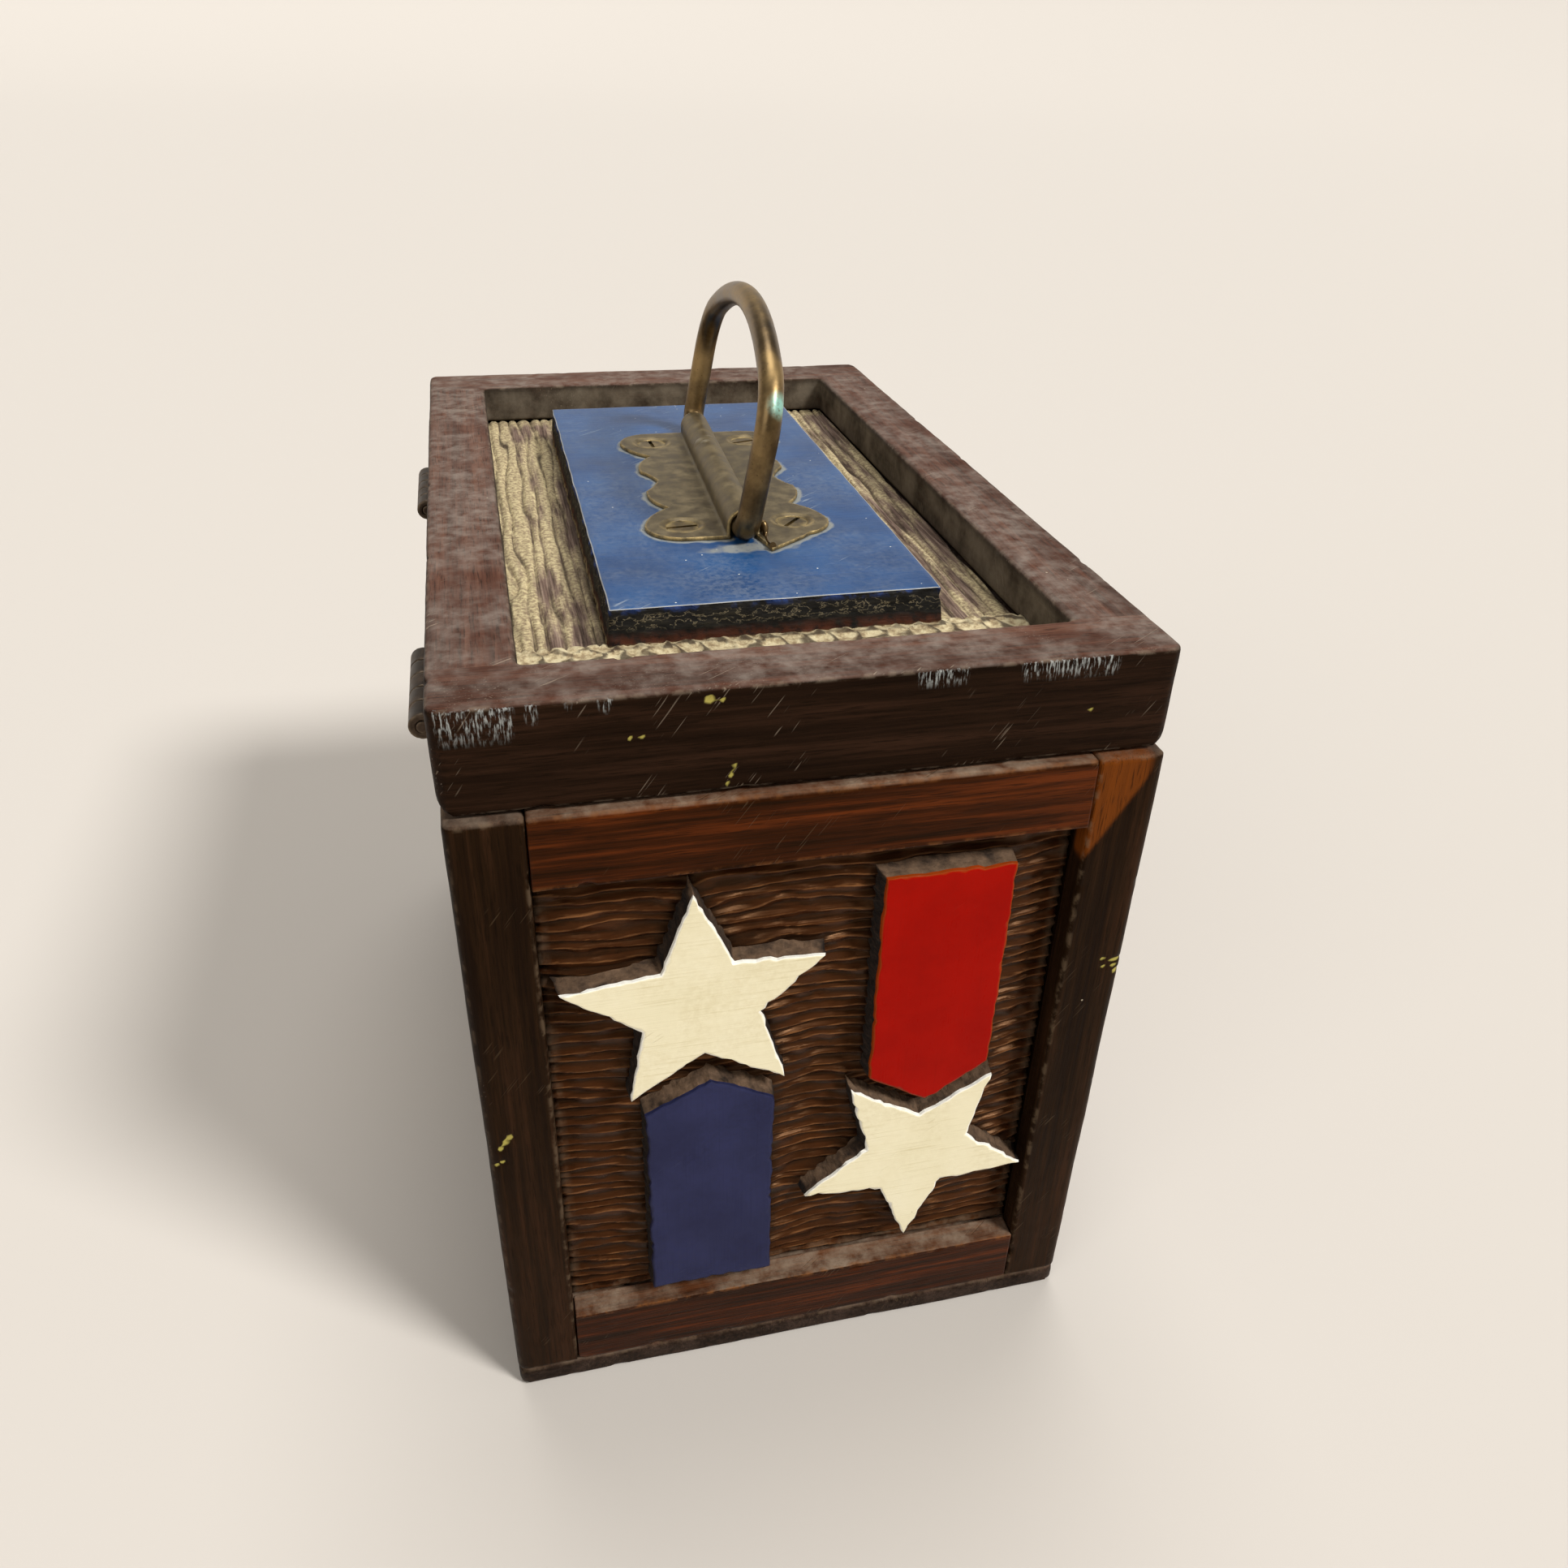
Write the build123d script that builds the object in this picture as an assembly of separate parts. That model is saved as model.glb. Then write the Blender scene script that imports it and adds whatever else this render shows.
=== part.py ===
"""Carved wooden box with a hinged lid, a drop bail handle and a swinging catch.

Millimetres, +Z up, front face towards -Y. The origin is the middle of the underside.
"""
import os
from math import atan2, cos, radians, sin

from build123d import *

# ---- case ----
case_width = 129.4
case_depth = 215.6
case_top = 151.7
base_thickness = 5.7
frame_stock = 13.4          # square section of posts, depth of rails
top_rail_height = 14.7
bottom_rail_height = 15.3
case_corner_radius = 2.0
case_edge_radius = 1.0
base_edge_radius = 1.4

# ---- frame and panel joinery ----
panel_setback = 6.0         # carved ground behind the frame's face
panel_thickness = 5.0       # ground slab
tongue_thickness = 3.0
tongue_length = 2.8
groove_depth = 3.0
groove_play = 0.05
panel_play = 0.1
relief_height = 5.8
relief_taper = 10.0         # degrees, carved sides lean out towards the ground

# ---- carved motifs ----
end_columns = ((-22.4, -20.7), (23.8, 25.2))            # middles of star and bar, column by column
side_columns = ((-56.0, -56.0), (0.0, 0.0), (56.0, 56.0))
star_tip_radius = 26.0
star_notch_radius = 11.9
star_high = 105.6
star_low = 54.9
star_turn = 2.0             # degrees, cut a little off square
bar_width = 25.8
red_bar_top = 130.5
red_bar_shoulder = 80.0
red_bar_point = 71.3
blue_bar_bottom = 26.0
blue_bar_shoulder = 79.3
blue_bar_point = 86.0

# ---- lid ----
lid_width = 130.0
lid_depth = 211.6
lid_thickness = 20.0
lid_gap = 0.4
lid_side_width = 15.2
lid_front_width = 14.4
lid_back_width = 16.4
lid_corner_radius = 2.5
lid_lower_radius = 4.0
lid_upper_radius = 0.8
lid_panel_drop = 9.5        # panel surface below the frame's top
block_width = 64.4
block_front = -70.0
block_back = 68.0
block_height = 8.5
dowel_radius = 2.5
dowel_half_length = 8.0

# ---- hinges ----
hinge_axis_x = -67.7
hinge_centres = {"front": -58.5, "back": 60.5}
hinge_length = 29.0
knuckle_count = 5
knuckle_gap = 0.2
knuckle_radius = 2.6
hinge_pin_radius = 1.2
leaf_thickness = 1.2
leaf_inner_x = -54.2
leaf_screw_x = -59.4
leaf_screw_spacing = 16.0
running_clearance = 0.05
moving_gap = 0.3

# ---- handle ----
handle_centre = (0.9, -0.2)
handle_turn = -2.0          # degrees about Z, the plate sits a little off square
handle_lean = 10.9          # degrees, the bail rests leaning to the right
plate_thickness = 0.8
plate_half_length = 38.0
lobe_radius = 8.0
handle_screw_x = 12.0
handle_screw_y = 30.2
cusp = (17.2, 7.2)
middle_notch = 13.9
side_notch = (13.6, 18.9)
tongue_tip = (4.6, 46.4)
tongue_root = (12.4, 37.6)
rod_radius = 2.6
channel_clearance = 0.1
bail_half_width = 41.7
bail_leg_height = 18.3
bail_rise = 20.3
bail_shoulder_radius = 14.0
bail_foot_radius = 3.6

# ---- catch ----
catch_y = 5.5
catch_axis = (68.1, 145.8)
catch_barrel_radius = 2.1
catch_pin_radius = 0.9
catch_plate_thickness = 1.0
catch_plate_width = 17.0
catch_plate_bottom = 137.6
catch_plate_top = 148.6
catch_knuckle_half = 3.7
lever_thickness = 1.0
lever_inner_x = 67.5
lever_half_width = 7.6
lever_shoulder_z = 148.6
lever_bend_z = 165.9
lever_curl_radius = 1.3
lever_nose_reach = 71.1
lever_hole_radius = 2.0
keeper_thickness = 0.9
keeper_half_width = 6.0
keeper_bottom = 157.2
keeper_top = 166.4
keeper_stud_z = 160.6
keeper_stud_radius = 1.5
keeper_stud_reach = 67.15
keeper_pin_z = 164.0
keeper_pin_y = 4.0

# ---- screws: head radius, head depth, shank radius, length, slot width ----
six_gauge = (3.4, 2.2, 1.7, 12.0, 0.9)
base_gauge = (3.4, 2.2, 1.7, 18.0, 0.9)
small_gauge = (2.2, 1.3, 1.1, 9.0, 0.6)
tip_length = 3.0
slot_depth = 0.7
base_screw_sink = 0.3
plate_dimple_radius = 4.7
plate_dimple_depth = 0.45

half_width = case_width / 2
half_depth = case_depth / 2
inner_x = half_width - frame_stock
inner_y = half_depth - frame_stock
bottom_rail_top = base_thickness + bottom_rail_height
top_rail_bottom = case_top - top_rail_height
lid_bottom = case_top + lid_gap
lid_top = lid_bottom + lid_thickness
lid_half_width = lid_width / 2
lid_half_depth = lid_depth / 2
lid_inner_x = lid_half_width - lid_side_width
lid_inner_front = -lid_half_depth + lid_front_width
lid_inner_back = lid_half_depth - lid_back_width
lid_floor = lid_top - lid_panel_drop
block_top = lid_floor + block_height
hinge_axis_z = case_top + lid_gap / 2
rod_height = rod_radius + channel_clearance


def brick(x, y, z):
    """A box from three (low, high) pairs."""
    size = [high - low for low, high in (x, y, z)]
    middle = [(high + low) / 2 for low, high in (x, y, z)]
    return Pos(*middle) * Box(*size)


def rounded_envelope(width, depth, z, corner, lower, upper):
    """The stock that a rounded frame is cut from: rounded in plan and along its edges."""
    height = z[1] - z[0]
    middle = (z[0] + z[1]) / 2
    plan = extrude(RectangleRounded(width, depth, corner), amount=height / 2, both=True)
    across = Rectangle(width, height)
    top_corners = across.vertices().sort_by(Axis.Y)[2:]
    across = fillet(top_corners, upper)
    low_corners = across.vertices().sort_by(Axis.Y)[:2]
    across = fillet(low_corners, lower)
    along = Plane.XZ.location * across
    along = extrude(along, amount=depth, both=True)
    lengthwise = extrude(RectangleRounded(depth, height, upper), amount=width, both=True)
    lengthwise = Plane.YZ.location * lengthwise
    return Pos(0, 0, middle) * (plan & along & lengthwise)


def corner_copies(shape):
    """Front-left shape copied to the four corners by mirroring."""
    back = mirror(shape, about=Plane.XZ)
    return {
        "front_left": shape,
        "front_right": mirror(shape, about=Plane.YZ),
        "back_left": back,
        "back_right": mirror(back, about=Plane.YZ),
    }


def screw(gauge, slot_turn=0.0):
    """Countersunk slotted wood screw, head up at z = 0, and the plain solid that its hole takes."""
    head_radius, head_depth, shank_radius, length, slot_width = gauge
    profile = Polyline(
        (0, 0),
        (head_radius, 0),
        (shank_radius, -head_depth),
        (shank_radius, -length + tip_length),
        (0, -length),
        close=True,
    )
    plain = revolve(Plane.XZ * make_face(profile), axis=Axis.Z)
    slot = Rot(0, 0, slot_turn) * Box(2.2 * head_radius, slot_width, 2 * slot_depth)
    return plain - slot, plain


def star(centre, turn):
    """Five-pointed star as a flat face, one tip towards +Y when turn is 90."""
    points = []
    for step in range(10):
        reach = star_tip_radius if step % 2 == 0 else star_notch_radius
        angle = radians(turn + 36 * step)
        points.append((centre[0] + reach * cos(angle), centre[1] + reach * sin(angle)))
    return make_face(Polyline(*points, close=True))


def pointed_bar(middle, flat_end, shoulder, point):
    """Bar with one flat end and one pointed end."""
    half = bar_width / 2
    outline = Polyline(
        (middle - half, flat_end),
        (middle + half, flat_end),
        (middle + half, shoulder),
        (middle, point),
        (middle - half, shoulder),
        close=True,
    )
    return make_face(outline)


def motif_column(star_middle, bar_middle, star_on_top):
    """One column: a star over a blue bar, or a red bar over a star."""
    if star_on_top:
        return [
            star((star_middle, star_high), 90 + star_turn),
            pointed_bar(bar_middle, blue_bar_bottom, blue_bar_shoulder, blue_bar_point),
        ]
    return [
        star((star_middle, star_low), -90 - star_turn / 2),
        pointed_bar(bar_middle, red_bar_top, red_bar_shoulder, red_bar_point),
    ]


def carved_panel(opening_half, columns):
    """Panel drawn flat: X across, Y up, Z outwards, carved ground at z = 0."""
    low = bottom_rail_top + panel_play
    high = top_rail_bottom - panel_play
    half = opening_half - panel_play
    panel = brick((-half, half), (low, high), (-panel_thickness, 0))
    panel += brick(
        (-half - tongue_length, half + tongue_length),
        (low - tongue_length, high + tongue_length),
        (-tongue_thickness, 0),
    )
    for index, (star_middle, bar_middle) in enumerate(columns):
        for face in motif_column(star_middle, bar_middle, index % 2 == 0):
            top = Pos(0, 0, relief_height) * face
            panel += extrude(top, amount=-relief_height, taper=-relief_taper)
    return panel


def make_case():
    """Posts, rails, panels, base board and base screws."""
    envelope = rounded_envelope(
        case_width, case_depth, (base_thickness - 5, case_top), case_corner_radius, 0.5, case_edge_radius
    )
    groove = (panel_setback - groove_play, panel_setback + tongue_thickness + groove_play)
    height = (base_thickness, case_top)

    post = brick((-half_width, -inner_x), (-half_depth, -inner_y), height) & envelope
    post -= brick(
        (-inner_x - groove_depth, -inner_x), (-half_depth + groove[0], -half_depth + groove[1]), height
    )
    post -= brick(
        (-half_width + groove[0], -half_width + groove[1]), (-inner_y - groove_depth, -inner_y), height
    )
    nodes = {"post_" + name: shape for name, shape in corner_copies(post).items()}

    tongue = (panel_setback, panel_setback + tongue_thickness)
    rail_levels = {
        "top": ((top_rail_bottom, case_top), (top_rail_bottom, top_rail_bottom + groove_depth)),
        "bottom": ((base_thickness, bottom_rail_top), (bottom_rail_top - groove_depth, bottom_rail_top)),
    }
    for level, (span, slot) in rail_levels.items():
        tenon_low = slot[1] if level == "top" else span[0]
        tenon_high = span[1] if level == "top" else slot[0]
        tenon = (tenon_low, tenon_high)
        front = brick((-inner_x, inner_x), (-half_depth, -inner_y), span) & envelope
        front += brick(
            (-inner_x - tongue_length, inner_x + tongue_length),
            (-half_depth + tongue[0], -half_depth + tongue[1]),
            tenon,
        )
        front -= brick((-half_width, half_width), (-half_depth + groove[0], -half_depth + groove[1]), slot)
        left = brick((-half_width, -inner_x), (-inner_y, inner_y), span) & envelope
        left += brick(
            (-half_width + tongue[0], -half_width + tongue[1]),
            (-inner_y - tongue_length, inner_y + tongue_length),
            tenon,
        )
        left -= brick((-half_width + groove[0], -half_width + groove[1]), (-half_depth, half_depth), slot)
        nodes[level + "_rail_front"] = front
        nodes[level + "_rail_back"] = mirror(front, about=Plane.XZ)
        nodes[level + "_rail_left"] = left
        nodes[level + "_rail_right"] = mirror(left, about=Plane.YZ)

    end_panel = carved_panel(inner_x, end_columns)
    side_panel = carved_panel(inner_y, side_columns)
    ground_y = half_depth - panel_setback
    ground_x = half_width - panel_setback
    nodes["panel_front"] = Plane((0, -ground_y, 0), x_dir=(1, 0, 0), z_dir=(0, -1, 0)).location * end_panel
    nodes["panel_back"] = Plane((0, ground_y, 0), x_dir=(-1, 0, 0), z_dir=(0, 1, 0)).location * end_panel
    nodes["panel_left"] = Plane((-ground_x, 0, 0), x_dir=(0, -1, 0), z_dir=(-1, 0, 0)).location * side_panel
    nodes["panel_right"] = Plane((ground_x, 0, 0), x_dir=(0, 1, 0), z_dir=(1, 0, 0)).location * side_panel

    base = rounded_envelope(
        case_width, case_depth, (0, base_thickness), case_corner_radius, base_edge_radius, 0.5
    )
    screws = []
    mid_x = half_width - frame_stock / 2
    mid_y = half_depth - frame_stock / 2
    places = [(x, y) for x in (-32, 32) for y in (-mid_y, mid_y)]
    places += [(x, y) for x in (-mid_x, mid_x) for y in (-52, 52)]
    for index, (x, y) in enumerate(places):
        turned, plain = screw(base_gauge, 37 * index)
        place = Pos(x, y, base_screw_sink) * Rot(180, 0, 0)
        screws.append(place * turned)
        base -= place * plain
        base -= Pos(x, y, 0) * Cylinder(base_gauge[0], 2 * base_screw_sink)
        for name in ("front", "back", "left", "right"):
            nodes["bottom_rail_" + name] -= place * plain
    nodes["base_board"] = base
    nodes["base_screws"] = Compound(children=screws)
    return nodes


def make_lid():
    """Frame members, dowels and the carved lid panel."""
    envelope = rounded_envelope(
        lid_width,
        lid_depth,
        (lid_bottom, lid_top),
        lid_corner_radius,
        lid_lower_radius,
        lid_upper_radius,
    )
    height = (lid_bottom, lid_top)
    groove = (lid_floor - tongue_thickness - groove_play, lid_floor + groove_play)
    slot = brick(
        (-lid_inner_x - groove_depth, lid_inner_x + groove_depth),
        (lid_inner_front - groove_depth, lid_inner_back + groove_depth),
        groove,
    )
    side = brick((-lid_half_width, -lid_inner_x), (-lid_half_depth, lid_half_depth), height) & envelope
    nodes = {
        "lid_side_left": side,
        "lid_side_right": mirror(side, about=Plane.YZ),
        "lid_rail_front": brick((-lid_inner_x, lid_inner_x), (-lid_half_depth, lid_inner_front), height)
        & envelope,
        "lid_rail_back": brick((-lid_inner_x, lid_inner_x), (lid_inner_back, lid_half_depth), height)
        & envelope,
    }
    dowels = []
    for x in (-lid_inner_x, lid_inner_x):
        for y in (-lid_half_depth + lid_front_width / 2, lid_half_depth - lid_back_width / 2):
            dowel = Pos(x, y, lid_floor - 3) * Rot(0, 90, 0) * Cylinder(dowel_radius, 2 * dowel_half_length)
            dowels.append(dowel)
    for name in nodes:
        nodes[name] -= slot
        for dowel in dowels:
            nodes[name] -= dowel
    nodes["lid_dowels"] = Compound(children=dowels)

    panel = brick(
        (-lid_inner_x + panel_play, lid_inner_x - panel_play),
        (lid_inner_front + panel_play, lid_inner_back - panel_play),
        (lid_floor - panel_thickness, lid_floor),
    )
    panel += brick(
        (-lid_inner_x - tongue_length, lid_inner_x + tongue_length),
        (lid_inner_front - tongue_length, lid_inner_back + tongue_length),
        (lid_floor - tongue_thickness, lid_floor),
    )
    panel += brick((-block_width / 2, block_width / 2), (block_front, block_back), (lid_floor, block_top))
    nodes["lid_panel"] = panel
    return nodes


def add_hinge(nodes, name, middle):
    """Butt hinge let into the joint: two leaves, a pin, and its screws and recesses."""
    span = (middle - hinge_length / 2, middle + hinge_length / 2)
    pitch = hinge_length / knuckle_count
    levels = {
        "case": (case_top - leaf_thickness, case_top),
        "lid": (lid_bottom, lid_bottom + leaf_thickness),
    }
    wood = {"case": "top_rail_left", "lid": "lid_side_left"}
    free_edge = hinge_axis_x + knuckle_radius + moving_gap
    screws = {"case": [], "lid": []}
    for body, level in levels.items():
        leaf = brick((free_edge, leaf_inner_x), span, level)
        bore_radius = hinge_pin_radius + (running_clearance if body == "lid" else 0)
        first = 0 if body == "case" else 1
        for index in range(first, knuckle_count, 2):
            low = span[0] + index * pitch + (knuckle_gap / 2 if index else 0)
            high = span[0] + (index + 1) * pitch - (knuckle_gap / 2 if index < knuckle_count - 1 else 0)
            barrel = Rot(90, 0, 0) * Cylinder(knuckle_radius, high - low)
            leaf += Pos(hinge_axis_x, (low + high) / 2, hinge_axis_z) * barrel
            leaf += brick((hinge_axis_x, free_edge + 0.5), (low, high), level)
        leaf -= Pos(hinge_axis_x, middle, hinge_axis_z) * Rot(90, 0, 0) * Cylinder(bore_radius, 2 * hinge_length)
        nodes[wood[body]] -= brick((-lid_half_width, leaf_inner_x), span, level)
        for side in (-1, 1):
            turned, plain = screw(small_gauge, 25 + 40 * side)
            flip = Rot(180, 0, 0) if body == "lid" else Rot(0, 0, 0)
            place = Pos(leaf_screw_x, middle + side * leaf_screw_spacing / 2, hinge_axis_z)
            seat = level[1] - 0.02 if body == "case" else level[0] + 0.02
            place = Pos(0, 0, seat - hinge_axis_z) * place * flip
            screws[body].append(place * turned)
            leaf -= place * plain
            nodes[wood[body]] -= place * plain
        nodes["hinge_" + name + "_" + body + "_leaf"] = leaf
    pin = Rot(90, 0, 0) * Cylinder(hinge_pin_radius, hinge_length + 0.6)
    nodes["hinge_" + name + "_pin"] = Pos(hinge_axis_x, middle, hinge_axis_z) * pin
    return screws


def handle_plate_face():
    """Fretted outline of the handle plate, seen from above, with its tongue at the front right."""
    lobe_front = handle_screw_y + lobe_radius
    curves = []
    for side in (1, -1):
        for end in (1, -1):
            lobe_side = (side * (handle_screw_x + lobe_radius), end * handle_screw_y)
            lobe_diagonal = lobe_radius * sin(radians(45))
            lobe_corner = (
                side * (handle_screw_x + lobe_diagonal),
                end * (handle_screw_y + lobe_diagonal),
            )
            curves.append(Line((0, end * lobe_front), (side * handle_screw_x, end * lobe_front)))
            curves.append(ThreePointArc((side * handle_screw_x, end * lobe_front), lobe_corner, lobe_side))
            notch = (side * side_notch[0], end * side_notch[1])
            bulge = (side * (handle_screw_x + 5.2), end * (side_notch[1] + 3.8))
            curves.append(ThreePointArc(lobe_side, bulge, notch))
            point = (side * cusp[0], end * cusp[1])
            belly = (side * (side_notch[0] + 3.2), end * (side_notch[1] + cusp[1]) / 2)
            curves.append(ThreePointArc(notch, belly, point))
            waist = (side * middle_notch, 0)
            hollow = (side * (middle_notch + 0.9), end * cusp[1] * 0.4)
            curves.append(ThreePointArc(point, hollow, waist))
    face = make_face(curves)
    tongue = make_face(
        Polyline(
            (rod_radius + channel_clearance, -lobe_front + 2),
            (rod_radius + channel_clearance, -lobe_front),
            (tongue_tip[0], -tongue_tip[1]),
            (tongue_root[0], -tongue_root[1] - 2.4),
            (handle_screw_x + 4, -lobe_front + 2),
            close=True,
        )
    )
    return face + tongue


def make_handle(nodes):
    """Stamped plate with a raised channel, closed bail ring and four screws."""
    place = Pos(handle_centre[0], handle_centre[1], block_top) * Rot(0, 0, handle_turn)
    inner = rod_radius + channel_clearance
    outer = inner + plate_thickness
    axis_level = Pos(0, 0, rod_height)
    length = 2 * plate_half_length

    plate = extrude(handle_plate_face(), amount=plate_thickness)
    channel = brick((-outer, outer), (-plate_half_length, plate_half_length), (0, rod_height))
    channel += axis_level * Rot(90, 0, 0) * Cylinder(outer, length)
    plate += channel & brick((-outer, outer), (-60, 60), (0, 2 * outer))
    plate -= brick((-inner, inner), (-60, 60), (0, rod_height))
    plate -= axis_level * Rot(90, 0, 0) * Cylinder(inner, 2 * length)

    screws = []
    slot_turns = {(-1, -1): 8, (1, -1): 52, (-1, 1): 95, (1, 1): 20}
    for (side, end), turn in slot_turns.items():
        turned, plain = screw(six_gauge, turn)
        spot = Pos(side * handle_screw_x, end * handle_screw_y, plate_thickness)
        dimple = Cone(six_gauge[0], plate_dimple_radius, plate_dimple_depth)
        plate -= spot * Pos(0, 0, -plate_dimple_depth / 2) * dimple
        sunk = spot * Pos(0, 0, -plate_dimple_depth)
        screws.append(place * sunk * turned)
        plate -= sunk * plain
        nodes["lid_panel"] -= place * sunk * plain
    nodes["handle_plate"] = place * plate
    nodes["handle_screws"] = Compound(children=screws)

    bail = sweep(Plane.XZ.location * Circle(rod_radius), path=bail_ring())
    nodes["handle_bail"] = place * axis_level * Rot(0, handle_lean, 0) * bail


def bail_ring():
    """Centre line of the closed bail: foot bar through the channel, two legs and a three-centred arch."""
    shoulder = bail_half_width - bail_shoulder_radius
    slack = bail_rise - bail_shoulder_radius
    crown_radius = (shoulder**2 + bail_rise**2 - bail_shoulder_radius**2) / (2 * slack)
    crown_height = bail_leg_height + bail_rise
    crown_centre = crown_height - crown_radius
    swing = atan2(shoulder, bail_leg_height - crown_centre)
    meet = (crown_radius * sin(swing), crown_centre + crown_radius * cos(swing))
    crown_middle = (crown_radius * sin(swing / 2), crown_centre + crown_radius * cos(swing / 2))
    half_swing = (radians(90) + swing) / 2
    shoulder_middle = (
        shoulder + bail_shoulder_radius * sin(half_swing),
        bail_leg_height + bail_shoulder_radius * cos(half_swing),
    )
    foot = bail_half_width - bail_foot_radius
    foot_middle = (
        foot + bail_foot_radius * sin(radians(45)),
        bail_foot_radius - bail_foot_radius * cos(radians(45)),
    )
    half = [
        Line((0, 0), (foot, 0)),
        ThreePointArc((foot, 0), foot_middle, (bail_half_width, bail_foot_radius)),
        Line((bail_half_width, bail_foot_radius), (bail_half_width, bail_leg_height)),
        ThreePointArc((bail_half_width, bail_leg_height), shoulder_middle, meet),
        ThreePointArc(meet, crown_middle, (0, crown_height)),
    ]
    other = [edge.mirror(Plane.YZ) for edge in reversed(half)]
    return Wire([Plane.YZ.location * edge for edge in half + other])


def make_catch(nodes):
    """Catch plate, pin and screws on the case, curled lever, and keeper on the lid."""
    axis_x, axis_z = catch_axis
    plate_face = half_width + catch_plate_thickness
    half = catch_plate_width / 2
    wide = (catch_y - half, catch_y + half)
    plate = brick((half_width, plate_face), wide, (catch_plate_bottom, catch_plate_top))
    for side in (-1, 1):
        near = catch_knuckle_half + moving_gap
        low, high = sorted((catch_y + side * near, catch_y + side * half))
        plate += Pos(axis_x, (low + high) / 2, axis_z) * Rot(90, 0, 0) * Cylinder(
            catch_barrel_radius, high - low
        )
        plate += brick((half_width, axis_x), (low, high), (axis_z - 0.8, axis_z + 0.8))
    bore = Rot(90, 0, 0) * Cylinder(catch_pin_radius, 2 * catch_plate_width)
    plate -= Pos(axis_x, catch_y, axis_z) * bore
    screws = []
    for side in (-1, 1):
        turned, plain = screw(small_gauge, 30 * side)
        spot = Pos(plate_face - 0.02, catch_y + side * 5.2, catch_plate_bottom + 2.9) * Rot(0, 90, 0)
        screws.append(spot * turned)
        plate -= spot * plain
        nodes["top_rail_right"] -= spot * plain
    nodes["catch_plate"] = plate
    nodes["catch_screws"] = Compound(children=screws)
    pin = Rot(90, 0, 0) * Cylinder(catch_pin_radius, catch_plate_width + 0.6)
    nodes["catch_pin"] = Pos(axis_x, catch_y, axis_z) * pin

    outer_x = lever_inner_x + lever_thickness
    lever = brick(
        (lever_inner_x, outer_x),
        (catch_y - lever_half_width, catch_y + lever_half_width),
        (lever_shoulder_z, lever_bend_z),
    )
    curl_x = outer_x - lever_thickness / 2 + lever_curl_radius
    curl_place = Pos(curl_x, catch_y, lever_bend_z) * Rot(90, 0, 0)
    curl = Cylinder(lever_curl_radius + lever_thickness / 2, 2 * lever_half_width)
    curl -= Cylinder(lever_curl_radius - lever_thickness / 2, 2 * lever_half_width)
    lever += (curl_place * curl) & brick((60, 80), wide, (lever_bend_z, lever_bend_z + 5))
    nose = make_face(
        [
            ThreePointArc(
                (outer_x + 0.3, catch_y - lever_half_width),
                (lever_nose_reach, catch_y),
                (outer_x + 0.3, catch_y + lever_half_width),
            ),
            Polyline(
                (outer_x + 0.3, catch_y + lever_half_width),
                (60, catch_y + lever_half_width),
                (60, catch_y - lever_half_width),
                (outer_x + 0.3, catch_y - lever_half_width),
            ),
        ]
    )
    lever &= Pos(0, 0, 140) * extrude(nose, amount=40)
    neck = (catch_y - catch_knuckle_half, catch_y + catch_knuckle_half)
    lever += Pos(axis_x, catch_y, axis_z) * Rot(90, 0, 0) * Cylinder(
        catch_barrel_radius, 2 * catch_knuckle_half
    )
    lever += brick((lever_inner_x, outer_x), neck, (axis_z, lever_shoulder_z))
    loose_bore = Rot(90, 0, 0) * Cylinder(catch_pin_radius + running_clearance, 20)
    lever -= Pos(axis_x, catch_y, axis_z) * loose_bore
    lever -= Pos(lever_inner_x, catch_y, keeper_stud_z) * Rot(0, 90, 0) * Cylinder(lever_hole_radius, 4)
    nodes["catch_lever"] = lever

    keeper_face = lid_half_width + keeper_thickness
    keeper = brick(
        (lid_half_width, keeper_face),
        (catch_y - keeper_half_width, catch_y + keeper_half_width),
        (keeper_bottom, keeper_top),
    )
    reach = keeper_stud_reach - lid_half_width
    keeper += Pos(lid_half_width + reach / 2, catch_y, keeper_stud_z) * Rot(0, 90, 0) * Cylinder(
        keeper_stud_radius, reach
    )
    pins = []
    for side in (-1, 1):
        spot = Pos(keeper_face, catch_y + side * keeper_pin_y, keeper_pin_z) * Rot(0, 90, 0)
        stem = Pos(0, 0, -3.5) * Cylinder(0.6, 7)
        head = Sphere(1.4) & Pos(0, 0, 1.6) * Box(4, 4, 2)
        pin_solid = spot * (stem + Pos(0, 0, -0.6) * head)
        pins.append(pin_solid)
        keeper -= spot * stem
        nodes["lid_side_right"] -= spot * stem
    nodes["catch_keeper"] = keeper
    nodes["keeper_pins"] = Compound(children=pins)


nodes = make_case()
nodes.update(make_lid())
case_screws = []
lid_screws = []
for hinge_name, hinge_middle in hinge_centres.items():
    hinge_screws = add_hinge(nodes, hinge_name, hinge_middle)
    case_screws += hinge_screws["case"]
    lid_screws += hinge_screws["lid"]
nodes["hinge_screws_case"] = Compound(children=case_screws)
nodes["hinge_screws_lid"] = Compound(children=lid_screws)
make_handle(nodes)
make_catch(nodes)

os.makedirs("parts", exist_ok=True)
for node_name, shape in nodes.items():
    export_step(shape, "parts/" + node_name + ".step")
print(len(nodes), "nodes written")
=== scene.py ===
import math

import bmesh
import bpy
import numpy as np
from mathutils import Euler, Matrix, Vector, noise
from mathutils.bvhtree import BVHTree


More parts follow.
